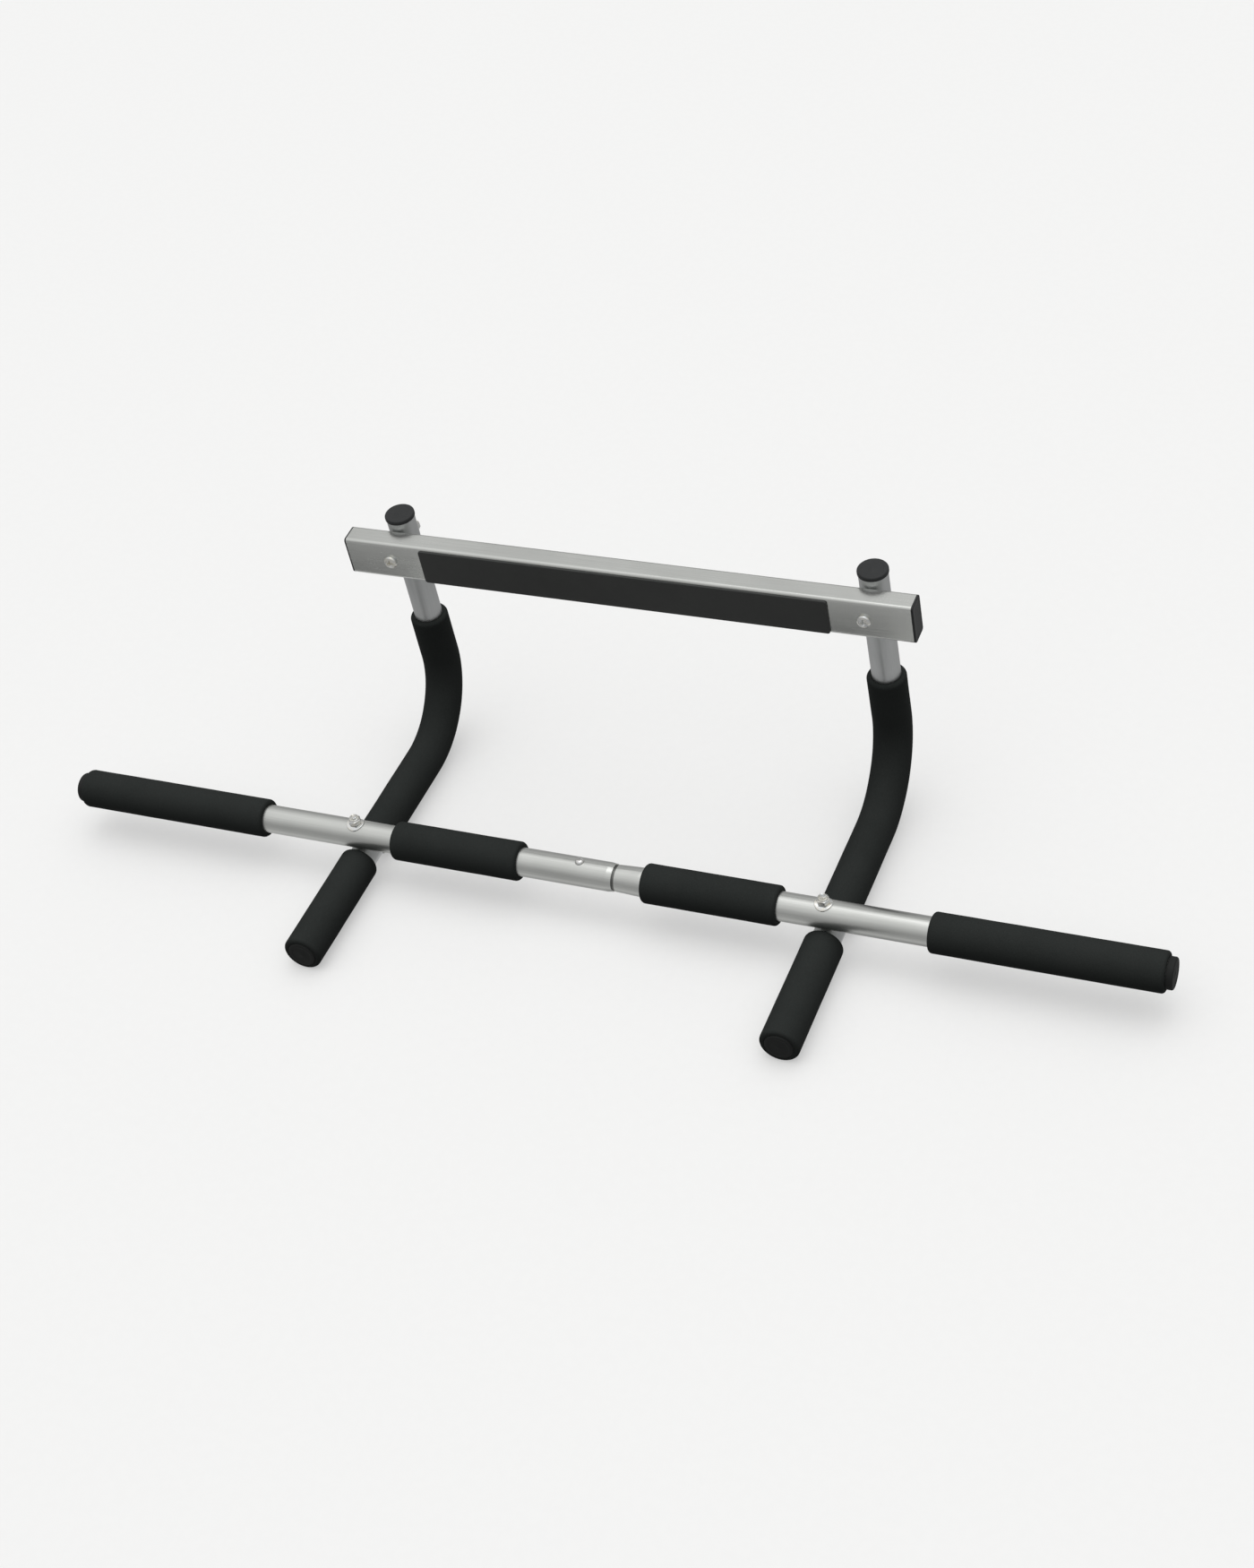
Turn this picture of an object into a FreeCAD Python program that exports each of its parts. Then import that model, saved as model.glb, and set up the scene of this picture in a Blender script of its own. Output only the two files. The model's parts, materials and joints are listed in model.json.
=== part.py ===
"""Doorway pull up bar.

A telescoping main bar is bolted across two bent arms. The arms carry a rectangular cross bar
whose padded face bears on the far side of the wall. X runs along the main bar, Y points from the
handles towards the cross bar, Z is up, and the bar lies on the foam of its two arms at Z = 0.
"""
import FreeCAD, Part
import math
import os

import Sketcher
from FreeCAD import Placement, Rotation, Vector

Rule = Sketcher.Constraint
X_AXIS = Vector(1, 0, 0)
Y_AXIS = Vector(0, 1, 0)
SIDES = (("left", -1), ("right", 1))

doc = FreeCAD.newDocument("pull_up_bar")

# ---------------------------------------------------------------- driving dimensions, mm and degrees
SIZES = [
    ("tube_dia", 25.4, "outside of every round tube"),
    ("tube_wall", 1.5, "wall of every round tube"),
    ("seat_gap", 0.05, "between curved faces that rest on each other"),
    ("bar_half", 502.0, "middle of the main bar to the end of its tube"),
    ("arm_spacing", 437.2, "between the middles of the two arms"),
    ("joint_offset", 30.5, "middle of the main bar to the end of its left tube"),
    ("lip_length", 5.0, "turned in lip at the end of the left tube, along the tube"),
    ("lip_drop", 0.6, "turned in lip, inwards"),
    ("neck_gap", 2.5, "end of the left tube to the neck of the right one"),
    ("neck_drop", 1.0, "small end of the neck, inwards"),
    ("neck_length", 22.0, "length of the neck"),
    ("spigot_reach", 75.0, "spigot inside the left tube"),
    ("slide_gap", 0.1, "spigot to the bore of the left tube"),
    ("spigot_chamfer", 0.8, "lead in at the end of the spigot"),
    ("button_back", 31.5, "end of the left tube back to the snap button"),
    ("button_dia", 8.0, "snap button"),
    ("button_gap", 0.1, "snap button to its hole"),
    ("button_proud", 2.2, "snap button above the tube"),
    ("button_round", 2.6, "rounded top of the snap button"),
    ("collar_dia", 10.4, "collar that holds the button in the spigot"),
    ("collar_thick", 1.0, "collar that holds the button in the spigot"),
    ("collar_gap", 0.1, "collar to the wall of the spigot"),
    ("spring_width", 7.0, "leaf spring under the button"),
    ("spring_thick", 0.8, "leaf spring under the button"),
    ("spring_pad", 5.0, "half length of the flat ends of the leaf spring"),
    ("spring_reach", 32.0, "button to the fold of the leaf spring"),
    ("spring_fold", 1.8, "height of the leaf spring at its fold"),
    ("foam_wall", 4.65, "thickness of every foam grip"),
    ("foam_edge", 3.0, "rounded rim of every foam grip"),
    ("outer_grip_to_arm", 91.4, "middle of the arm out to the outer grip"),
    ("outer_grip_bare", 0.1, "bare tube between the outer grip and the bar end plug"),
    ("inner_grip_start", 58.0, "middle of the bar to the inner grip"),
    ("inner_grip_to_arm", 39.0, "inner grip out to the middle of the arm"),
    ("handle_reach", 123.2, "main bar forward to the end of the arm tube"),
    ("handle_grip_gap", 0.3, "handle grip to the main bar, or to the saddle under the arm"),
    ("handle_grip_over", 3.0, "handle grip beyond the end of its tube"),
    ("sleeve_gap", 17.5, "main bar back to the arm sleeve"),
    ("sleeve_rise", 46.5, "arm sleeve above the bend"),
    ("bend_start", 126.4, "main bar back to the bend of the arm"),
    ("bend_radius", 71.3, "bend of the arm, at the middle of the tube"),
    ("bend_deg", 92.0, "bend of the arm"),
    ("cross_rise", 135.0, "bend of the arm up to the middle of the cross bar"),
    ("arm_over", 5.9, "arm tube beyond the top edge of the cross bar"),
    ("cross_overhang", 41.1, "cross bar tube beyond the middle of an arm"),
    ("cross_height", 38.0, "cross bar, along the arms"),
    ("cross_depth", 20.0, "cross bar, front to back"),
    ("cross_wall", 1.5, "cross bar wall"),
    ("cross_corner", 3.0, "outer corner of the cross bar"),
    ("cross_cap_flange", 1.8, "visible thickness of a cross bar cap"),
    ("cross_cap_stem", 12.0, "cross bar cap inside the tube"),
    ("pad_to_arm", 30.6, "end of the wall pad out to the middle of the arm"),
    ("pad_thick", 2.0, "wall pad"),
    ("pad_corner", 2.5, "corner of the wall pad"),
    ("pad_above", 2.3, "top edge of the wall pad to the top of the cross bar"),
    ("pad_below", 0.7, "bottom edge of the wall pad to the bottom of the cross bar"),
    ("plug_lip", 0.7, "head of a tube plug beyond the tube"),
    ("plug_flange", 3.8, "thickness of the head of a plug in an arm"),
    ("bar_plug_flange", 6.0, "thickness of the head of a plug in the main bar"),
    ("plug_round", 1.6, "rounded rim of the head of a tube plug"),
    ("plug_stem", 18.0, "tube plug inside the tube"),
    ("plug_gap", 0.1, "tube plug to the bore of the tube"),
    ("plug_wall", 1.8, "wall of a hollow plug stem"),
    ("bolt_dia", 6.0, "every bolt"),
    ("bolt_play", 0.25, "bolt to its holes"),
    ("bolt_proud", 2.4, "end of a bolt beyond its nut"),
    ("bolt_tip", 0.7, "chamfer at the end of a bolt"),
    ("thread_gap", 0.03, "bolt to the bore of its nut"),
    ("saddle_dia", 16.0, "saddle washer"),
    ("saddle_thick", 1.0, "saddle washer"),
    ("button_head_dia", 10.5, "head of a bar bolt"),
    ("button_head", 3.1, "head of a bar bolt"),
    ("button_head_round", 2.0, "rounding of the head of a bar bolt"),
    ("hex_key", 4.0, "hex socket of a bar bolt"),
    ("hex_depth", 1.8, "hex socket of a bar bolt"),
    ("pan_head_dia", 12.4, "head of a cross bar screw"),
    ("pan_head", 3.4, "head of a cross bar screw"),
    ("pan_head_round", 2.2, "rounding of the head of a cross bar screw"),
    ("cross_slot", 1.5, "width of the cross recess"),
    ("cross_slot_length", 6.6, "length of the cross recess"),
    ("cross_slot_depth", 1.7, "depth of the cross recess"),
    ("nut_flats", 10.0, "lock nut across its flats"),
    ("nut_height", 4.6, "hexagon of a lock nut"),
    ("nut_chamfer", 0.5, "chamfer of the corners of a lock nut"),
    ("nut_collar", 1.4, "round collar on top of a lock nut"),
    ("nut_collar_wall", 0.65, "round collar on top of a lock nut"),
    ("insert_wall", 0.77, "nylon ring in the collar of a lock nut"),
    ("insert_height", 1.8, "nylon ring in the collar of a lock nut"),
]


def make_sheet():
    """Write each size with its alias and its meaning on a row of its own."""
    table = doc.addObject("Spreadsheet::Sheet", "sizes")
    for row, (alias, value, meaning) in enumerate(SIZES, start=1):
        table.set("A%d" % row, alias)
        table.set("B%d" % row, str(value))
        table.set("C%d" % row, meaning)
        table.setAlias("B%d" % row, alias)
    doc.recompute()
    return table


sheet = make_sheet()

# ---------------------------------------------------------------- lengths worked out from the sizes
TUBE_R = "sizes.tube_dia / 2"
BORE_R = "(sizes.tube_dia / 2 - sizes.tube_wall)"
FOAM_BORE_R = "(sizes.tube_dia / 2 + sizes.seat_gap)"
FOAM_R = "(sizes.tube_dia / 2 + sizes.seat_gap + sizes.foam_wall)"
BOLT_R = "sizes.bolt_dia / 2"
BOLT_HOLE_R = "(sizes.bolt_dia / 2 + sizes.bolt_play)"
ARM_X = "sizes.arm_spacing / 2"

# The arms' foam rests on Z = 0. The bar crosses on top of the arms, and Y = 0 is midway between
# the front of the handle plugs and the back of the sleeves' bends.
ARM_Z = FOAM_R
BAR_Z = "(" + FOAM_R + " + sizes.tube_dia + sizes.seat_gap)"
FRONT = "(sizes.handle_reach + sizes.plug_flange)"
BACK = "(sizes.bend_start + sizes.bend_radius + " + FOAM_R + ")"
BAR_Y = "(" + FRONT + " - " + BACK + ") / 2"

# From the middle of the bar to where the top of a handle grip is clear of the bar above it. The
# bore of the grip is clear of the saddle washer under the arm as well.
BAR_CLEAR = "sqrt((" + TUBE_R + ")^2 - (sizes.tube_dia / 2 - sizes.foam_wall)^2)"
HANDLE_GRIP_START = "(max(" + BAR_CLEAR + "; sizes.saddle_dia / 2) + sizes.handle_grip_gap)"

# The bend ends here, from the middle of the bar, and the arm goes on at bend_deg as far as its cap.
BEND_END_Y = "(sizes.bend_start + sizes.bend_radius * sin(sizes.bend_deg))"
BEND_END_Z = "(sizes.bend_radius * (1 - cos(sizes.bend_deg)))"
ARM_RISE = "(sizes.cross_rise + sizes.cross_height / 2 + sizes.arm_over)"

# Spigot of the right tube, and what lies inside it.
SPIGOT_R = "(sizes.tube_dia / 2 - sizes.tube_wall - sizes.slide_gap)"
SPIGOT_BORE_R = "(sizes.tube_dia / 2 - 2 * sizes.tube_wall - sizes.slide_gap)"
SPIGOT_LENGTH = "(sizes.spigot_reach + sizes.neck_gap)"
NECK_R = "(sizes.tube_dia / 2 - sizes.neck_drop)"
BUTTON_X = "(sizes.joint_offset - sizes.button_back)"
COLLAR_TOP = "(sqrt(" + SPIGOT_BORE_R + "^2 - (sizes.collar_dia / 2)^2) - sizes.collar_gap)"
LEAF_TOP = "(" + COLLAR_TOP + " - sizes.collar_thick)"
LEAF_LOW = "(sqrt(" + SPIGOT_BORE_R + "^2 - (sizes.spring_width / 2)^2) - sizes.collar_gap)"

# Bolt stacks: saddle washer, tubes and nut between the head and the free end.
SADDLE_R = "(sizes.tube_dia / 2 + sizes.seat_gap)"
SADDLE_TOP = "(sizes.tube_dia / 2 + sizes.seat_gap + sizes.saddle_thick)"
NUT_TOP = "(sizes.nut_height + sizes.nut_collar)"
NUT_BORE_R = "(sizes.bolt_dia / 2 + sizes.thread_gap)"
INSERT_R = "(sizes.bolt_dia / 2 + sizes.thread_gap + sizes.insert_wall)"
PAST_TUBE = "(sizes.seat_gap + sizes.saddle_thick + " + NUT_TOP + " + sizes.bolt_proud)"
BAR_BOLT_LENGTH = "(2 * sizes.tube_dia + 2 * sizes.seat_gap + sizes.saddle_thick + " + PAST_TUBE + ")"
CROSS_SCREW_LENGTH = "(sizes.cross_depth + sizes.seat_gap + sizes.tube_dia + " + PAST_TUBE + ")"
CROSS_HALF = "(sizes.arm_spacing / 2 + sizes.cross_overhang)"
CROSS_MIDDLE = "(sizes.tube_dia / 2 + sizes.seat_gap + sizes.cross_depth / 2)"
CROSS_FACE = "(sizes.tube_dia / 2 + sizes.seat_gap + sizes.cross_depth)"


# ---------------------------------------------------------------- helpers
def minus(expression):
    return "-(" + expression + ")"


def new_body(node):
    body = doc.addObject("PartDesign::Body", node + "_body")
    body.Label = node
    return body


def sketch_on(body, role, name, lift=None):
    """A sketch on one of the body's own origin planes, lifted along the plane's normal."""
    sketch = body.newObject("Sketcher::SketchObject", body.Label + "_" + name)
    for feature in body.Origin.OriginFeatures:
        if feature.Role == role:
            sketch.AttachmentSupport = [(feature, "")]
    sketch.MapMode = "FlatFace"
    if lift:
        sketch.setExpression("AttachmentOffset.Base.z", lift)
    return sketch


def bind(sketch, kind, places, start, expression):
    """Add one driving dimension and tie it to an expression."""
    index = sketch.addConstraint(Rule(kind, *places, start))
    sketch.setExpression("Constraints[%d]" % index, expression)


def pin_point(sketch, edge, end, across, up):
    """Hold a point at two expressions; None keeps it on that axis."""
    start = sketch.getPoint(edge, end)
    if across is None:
        sketch.addConstraint(Rule("PointOnObject", edge, end, -2))
    else:
        bind(sketch, "DistanceX", (-1, 1, edge, end), start.x, across)
    if up is None:
        sketch.addConstraint(Rule("PointOnObject", edge, end, -1))
    else:
        bind(sketch, "DistanceY", (-1, 1, edge, end), start.y, up)


def outline(sketch, points):
    """A closed outline of straight edges through points given as expressions."""
    count = len(points)
    ring_of_points = []
    for number in range(count):
        turn = 2 * math.pi * number / count
        ring_of_points.append(Vector(10 * math.cos(turn), 10 * math.sin(turn), 0))
    for number in range(count):
        following = ring_of_points[(number + 1) % count]
        sketch.addGeometry(Part.LineSegment(ring_of_points[number], following))
    for number in range(count):
        sketch.addConstraint(Rule("Coincident", number, 2, (number + 1) % count, 1))
    for number, (across, up) in enumerate(points):
        pin_point(sketch, number, 1, across, up)


def rectangle(sketch, half_width, half_height):
    outline(sketch, [(minus(half_width), minus(half_height)), (half_width, minus(half_height)),
                     (half_width, half_height), (minus(half_width), half_height)])


def circle(sketch, radius, across=None, up=None):
    index = sketch.addGeometry(Part.Circle(Vector(0, 0, 0), Vector(0, 0, 1), 5))
    pin_point(sketch, index, 3, across, up)
    bind(sketch, "Radius", (index,), 5.0, radius)


def feature_of(body, kind, name, sketch):
    feature = body.newObject("PartDesign::" + kind, body.Label + "_" + name)
    feature.Profile = sketch
    return feature


def pad(body, sketch, length, name="pad", both_ways=False):
    feature = feature_of(body, "Pad", name, sketch)
    feature.setExpression("Length", length)
    if both_ways:
        feature.SideType = "Symmetric"
    doc.recompute()
    return feature


def must_cut(body, volume_before, name):
    """A pocket that points away from the solid shows no error, so its volume is compared."""
    if not body.Shape.Volume < volume_before - 0.01:
        raise RuntimeError(body.Label + ": " + name + " removed nothing")


def hole(body, sketch, name, both_ways=True, reverse=False):
    """Cut a sketch right through, both ways or one way only."""
    doc.recompute()
    volume_before = body.Shape.Volume
    feature = feature_of(body, "Pocket", name, sketch)
    feature.Type = "ThroughAll"
    feature.Reversed = reverse
    if both_ways:
        feature.SideType = "Symmetric"
    doc.recompute()
    must_cut(body, volume_before, name)


def recess(body, sketch, depth, name, reverse=False):
    """Cut a sketch down into the solid under it, or against its plane's normal if reversed."""
    doc.recompute()
    volume_before = body.Shape.Volume
    feature = feature_of(body, "Pocket", name, sketch)
    feature.setExpression("Length", depth)
    feature.Reversed = reverse
    doc.recompute()
    must_cut(body, volume_before, name)


def revolve(body, sketch, axis, name="turned"):
    feature = feature_of(body, "Revolution", name, sketch)
    feature.ReferenceAxis = (sketch, [axis])
    feature.Angle = 360
    doc.recompute()
    return feature


def turned_along_x(node, points):
    """Revolve an outline of (along, radius) points about the body's X axis."""
    body = new_body(node)
    sketch = sketch_on(body, "XZ_Plane", "profile")
    outline(sketch, points)
    revolve(body, sketch, "H_Axis")
    return body


def turned_about_z(node, points):
    """Revolve an outline of (radius, height) points about the body's Z axis."""
    body = new_body(node)
    sketch = sketch_on(body, "XZ_Plane", "profile")
    outline(sketch, points)
    revolve(body, sketch, "V_Axis")
    return body


def round_edges(body, wanted, radius, name):
    """Fillet every edge of the body's present solid that the test wants."""
    doc.recompute()
    base = body.Tip
    names = []
    for number, edge in enumerate(base.Shape.Edges, start=1):
        if wanted(edge):
            names.append("Edge%d" % number)
    if not names:
        raise RuntimeError(body.Label + ": no edge for " + name)
    fillet = body.newObject("PartDesign::Fillet", body.Label + "_" + name)
    fillet.Base = (base, names)
    fillet.setExpression("Radius", radius)
    body.Tip = fillet
    doc.recompute()


def size(alias):
    return float(sheet.get(alias))


def foam_radius():
    return size("tube_dia") / 2 + size("seat_gap") + size("foam_wall")


def is_rim(edge, radius, place=None):
    """A full circle of this radius, centred at this place if one is given."""
    curve = edge.Curve
    if not isinstance(curve, Part.Circle) or not edge.Closed:
        return False
    if abs(curve.Radius - radius) > 0.01:
        return False
    return place is None or curve.Center.distanceToPoint(place) < 0.01


def runs_along(edge, axis):
    """A straight edge along this axis."""
    return isinstance(edge.Curve, Part.Line) and abs(edge.Curve.Direction.dot(axis)) > 0.999


def place(item, across, back, up, axis=X_AXIS, turn=0):
    """Put a sub-part at three expressions, turned about one axis by an angle or an expression."""
    start_angle = turn if isinstance(turn, (int, float)) else 45
    item.Placement = Placement(Vector(0, 0, 0), Rotation(axis, start_angle))
    item.setExpression("Placement.Base.x", across)
    item.setExpression("Placement.Base.y", back)
    item.setExpression("Placement.Base.z", up)
    if not isinstance(turn, (int, float)):
        item.setExpression("Placement.Rotation.Angle", turn)


def place_on_arm(item, across, rise, forward, turn):
    """Put a sub-part on the upper arm: so far above the bend, so far in front of the arm's axis."""
    back = "(" + BAR_Y + ") + " + BEND_END_Y + " + (" + rise + ") * cos(sizes.bend_deg)"
    back += " - (" + forward + ") * sin(sizes.bend_deg)"
    up = ARM_Z + " + " + BEND_END_Z + " + (" + rise + ") * sin(sizes.bend_deg)"
    up += " + (" + forward + ") * cos(sizes.bend_deg)"
    place(item, across, back, up, X_AXIS, turn)


UPRIGHT = "sizes.bend_deg - 90"
FACING_FRONT = "sizes.bend_deg"
FACING_BACK = "sizes.bend_deg - 180"


def signed(side, expression):
    return expression if side > 0 else minus(expression)


# ---------------------------------------------------------------- main bar
def main_bar_left():
    """Left tube, with a turned in lip, a bolt hole and the hole of the snap button."""
    length = "(sizes.bar_half + sizes.joint_offset)"
    body = turned_along_x("main_bar_left", [
        (None, BORE_R),
        (None, TUBE_R),
        (length + " - sizes.lip_length", TUBE_R),
        (length, TUBE_R + " - sizes.lip_drop"),
        (length, BORE_R),
    ])
    bolt_hole = sketch_on(body, "XY_Plane", "bolt_place")
    circle(bolt_hole, BOLT_HOLE_R, "sizes.bar_half - " + ARM_X)
    hole(body, bolt_hole, "bolt_hole")
    button_hole = sketch_on(body, "XY_Plane", "button_place")
    circle(button_hole, "sizes.button_dia / 2 + sizes.button_gap", length + " - sizes.button_back")
    hole(body, button_hole, "button_hole", both_ways=False, reverse=True)
    place(body, "-sizes.bar_half", BAR_Y, BAR_Z)


def main_bar_right():
    """Right tube, necked down to the spigot that slides into the left tube."""
    neck_end = "(" + SPIGOT_LENGTH + " + sizes.neck_length)"
    length = "(sizes.bar_half - sizes.joint_offset + sizes.spigot_reach)"
    body = turned_along_x("main_bar_right", [
        (None, SPIGOT_BORE_R),
        (None, SPIGOT_R + " - sizes.spigot_chamfer"),
        ("sizes.spigot_chamfer", SPIGOT_R),
        (SPIGOT_LENGTH, SPIGOT_R),
        (SPIGOT_LENGTH, NECK_R),
        (neck_end, TUBE_R),
        (length, TUBE_R),
        (length, BORE_R),
        (neck_end, BORE_R),
        (SPIGOT_LENGTH, NECK_R + " - sizes.tube_wall"),
        (SPIGOT_LENGTH + " - sizes.tube_wall", SPIGOT_BORE_R),
    ])
    bolt_hole = sketch_on(body, "XY_Plane", "bolt_place")
    circle(bolt_hole, BOLT_HOLE_R, length + " - sizes.bar_half + " + ARM_X)
    hole(body, bolt_hole, "bolt_hole")
    button_hole = sketch_on(body, "XY_Plane", "button_place")
    button_along = "sizes.spigot_reach - sizes.button_back"
    circle(button_hole, "sizes.button_dia / 2 + sizes.button_gap", button_along)
    hole(body, button_hole, "button_hole", both_ways=False, reverse=True)
    place(body, "sizes.joint_offset - sizes.spigot_reach", BAR_Y, BAR_Z)


def snap_button():
    """Button whose collar stays inside the spigot and whose domed end locks the two tubes."""
    top = "(sizes.tube_dia / 2 + sizes.button_proud)"
    body = turned_about_z("snap_button", [
        (None, LEAF_TOP),
        ("sizes.collar_dia / 2", LEAF_TOP),
        ("sizes.collar_dia / 2", COLLAR_TOP),
        ("sizes.button_dia / 2", COLLAR_TOP),
        ("sizes.button_dia / 2", top),
        (None, top),
    ])
    top_of_button = Vector(0, 0, size("tube_dia") / 2 + size("button_proud"))
    button_radius = size("button_dia") / 2
    round_edges(body, lambda edge: is_rim(edge, button_radius, top_of_button),
                "sizes.button_round", "dome")
    place(body, BUTTON_X, BAR_Y, BAR_Z)


def snap_spring():
    """Folded leaf spring between the button's collar and the bottom of the spigot."""
    flat = "sizes.spring_pad"
    thick = "sizes.spring_thick"
    body = new_body("snap_spring")
    sketch = sketch_on(body, "XZ_Plane", "profile")
    outline(sketch, [
        (minus(flat), LEAF_TOP),
        (flat, LEAF_TOP),
        ("sizes.spring_reach", "sizes.spring_fold / 2"),
        ("sizes.spring_reach", "-sizes.spring_fold / 2"),
        (flat, minus(LEAF_LOW)),
        (minus(flat), minus(LEAF_LOW)),
        (minus(flat), thick + " - " + LEAF_LOW),
        (flat, thick + " - " + LEAF_LOW),
        ("sizes.spring_reach - 2 * " + thick, None),
        (flat, LEAF_TOP + " - " + thick),
        (minus(flat), LEAF_TOP + " - " + thick),
    ])
    pad(body, sketch, "sizes.spring_width", both_ways=True)
    place(body, BUTTON_X, BAR_Y, BAR_Z)


# ---------------------------------------------------------------- foam on the main bar and handles
def straight_grip(node, length):
    """Foam tube along the body's X axis, with both outer rims rounded."""
    body = new_body(node)
    sketch = sketch_on(body, "YZ_Plane", "profile")
    circle(sketch, FOAM_R)
    circle(sketch, FOAM_BORE_R)
    pad(body, sketch, length)
    round_edges(body, lambda edge: is_rim(edge, foam_radius()), "sizes.foam_edge", "rims")
    return body


def bar_grips():
    """Each grip is placed by the end of it that is nearer to -X."""
    outer_start = "(" + ARM_X + " + sizes.outer_grip_to_arm)"
    outer_end = "(sizes.bar_half - sizes.outer_grip_bare)"
    inner_start = "sizes.inner_grip_start"
    inner_end = "(" + ARM_X + " - sizes.inner_grip_to_arm)"
    grips = (("outer_grip_", outer_start, outer_end), ("inner_grip_", inner_start, inner_end))
    for name, side in SIDES:
        for kind, start, end in grips:
            grip = straight_grip(kind + name, end + " - " + start)
            place(grip, start if side > 0 else minus(end), BAR_Y, BAR_Z)


def handle_grips():
    front = "(sizes.handle_reach + sizes.handle_grip_over)"
    for name, side in SIDES:
        grip = straight_grip("handle_grip_" + name, front + " - " + HANDLE_GRIP_START)
        place(grip, signed(side, ARM_X), "(" + BAR_Y + ") - " + front, ARM_Z,
              Vector(0, 0, 1), 90)


# ---------------------------------------------------------------- arms
def bent_path(body, run_start, rise):
    """Line, bend and line in the body's YZ plane, from run_start to so far above the bend."""
    path = sketch_on(body, "YZ_Plane", "path")
    radius = size("bend_radius")
    bend = math.radians(size("bend_deg"))
    bend_at = size("bend_start")
    bend_end = Vector(bend_at + radius * math.sin(bend), radius * (1 - math.cos(bend)), 0)
    onward = Vector(math.cos(bend), math.sin(bend), 0)
    bend_centre = Part.Circle(Vector(bend_at, radius, 0), Vector(0, 0, 1), radius)
    path.addGeometry(Part.LineSegment(Vector(0, 0, 0), Vector(bend_at, 0, 0)))
    path.addGeometry(Part.ArcOfCircle(bend_centre, -math.pi / 2, bend - math.pi / 2))
    path.addGeometry(Part.LineSegment(bend_end, bend_end + onward * size("cross_rise")))
    pin_point(path, 0, 1, run_start, None)
    pin_point(path, 0, 2, "sizes.bend_start", None)
    path.addConstraint(Rule("Tangent", 0, 2, 1, 1))
    path.addConstraint(Rule("Tangent", 1, 2, 2, 1))
    bind(path, "Radius", (1,), radius, "sizes.bend_radius")
    bind(path, "Distance", (2,), size("cross_rise"), rise)
    bind(path, "Angle", (2,), bend, "sizes.bend_deg")
    return path


def bent_tube(body, run_start, rise, outer, inner):
    """Sweep a ring along the arm's path."""
    path = bent_path(body, run_start, rise)
    ring = sketch_on(body, "XZ_Plane", "ring", lift=minus(run_start))
    circle(ring, outer)
    circle(ring, inner)
    doc.recompute()
    pipe = feature_of(body, "AdditivePipe", "pipe", ring)
    pipe.Spine = (path, ["Edge1", "Edge2", "Edge3"])
    doc.recompute()


def arm(node):
    """Bent arm tube with a hole for the bar bolt and a tilted one for the cross bar screw."""
    body = new_body(node)
    bent_tube(body, "-sizes.handle_reach", ARM_RISE, TUBE_R, BORE_R)
    bolt_hole = sketch_on(body, "XY_Plane", "bolt_place")
    circle(bolt_hole, BOLT_HOLE_R)
    hole(body, bolt_hole, "bolt_hole")
    screw_back = "(" + BEND_END_Y + " + sizes.cross_rise * cos(sizes.bend_deg))"
    screw_hole = sketch_on(body, "XZ_Plane", "screw_place", lift=minus(screw_back))
    screw_up = BEND_END_Z + " + sizes.cross_rise * sin(sizes.bend_deg)"
    screw_hole.AttachmentOffset = Placement(Vector(0, 0, 0), Rotation(X_AXIS, 1))
    screw_hole.setExpression("AttachmentOffset.Base.y", screw_up)
    screw_hole.setExpression("AttachmentOffset.Rotation.Angle", "sizes.bend_deg - 90")
    circle(screw_hole, BOLT_HOLE_R)
    hole(body, screw_hole, "screw_hole")
    return body


def arm_sleeve(node):
    """Long foam sleeve from behind the main bar, round the bend and part of the way up."""
    body = new_body(node)
    bent_tube(body, "sizes.sleeve_gap", "sizes.sleeve_rise", FOAM_R, FOAM_BORE_R)
    bend = math.radians(size("bend_deg"))
    radius = size("bend_radius")
    rise = size("sleeve_rise")
    top_y = size("bend_start") + radius * math.sin(bend) + rise * math.cos(bend)
    top_z = radius * (1 - math.cos(bend)) + rise * math.sin(bend)
    ends = (Vector(0, size("sleeve_gap"), 0), Vector(0, top_y, top_z))
    round_edges(body, lambda edge: any(is_rim(edge, foam_radius(), end) for end in ends),
                "sizes.foam_edge", "rims")
    return body


def arms():
    for name, side in SIDES:
        for item in (arm("arm_" + name), arm_sleeve("arm_sleeve_" + name)):
            place(item, signed(side, ARM_X), BAR_Y, ARM_Z)


# ---------------------------------------------------------------- tube plugs
def plug(node, head_radius, flange="sizes.plug_flange"):
    """Plug with a hollow stem below Z = 0 and a rounded head above it."""
    stem_radius = "(" + BORE_R + " - sizes.plug_gap)"
    body = turned_about_z(node, [
        (None, flange),
        (head_radius, flange),
        (head_radius, None),
        (stem_radius, None),
        (stem_radius, "-sizes.plug_stem"),
        (stem_radius + " - sizes.plug_wall", "-sizes.plug_stem"),
        (stem_radius + " - sizes.plug_wall", "-sizes.plug_wall"),
        (None, "-sizes.plug_wall"),
    ])
    top = Vector(0, 0, size(flange.split(".")[1]))
    round_edges(body, lambda edge: isinstance(edge.Curve, Part.Circle)
                and edge.Curve.Center.distanceToPoint(top) < 0.01, "sizes.plug_round", "rim")
    return body


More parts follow.
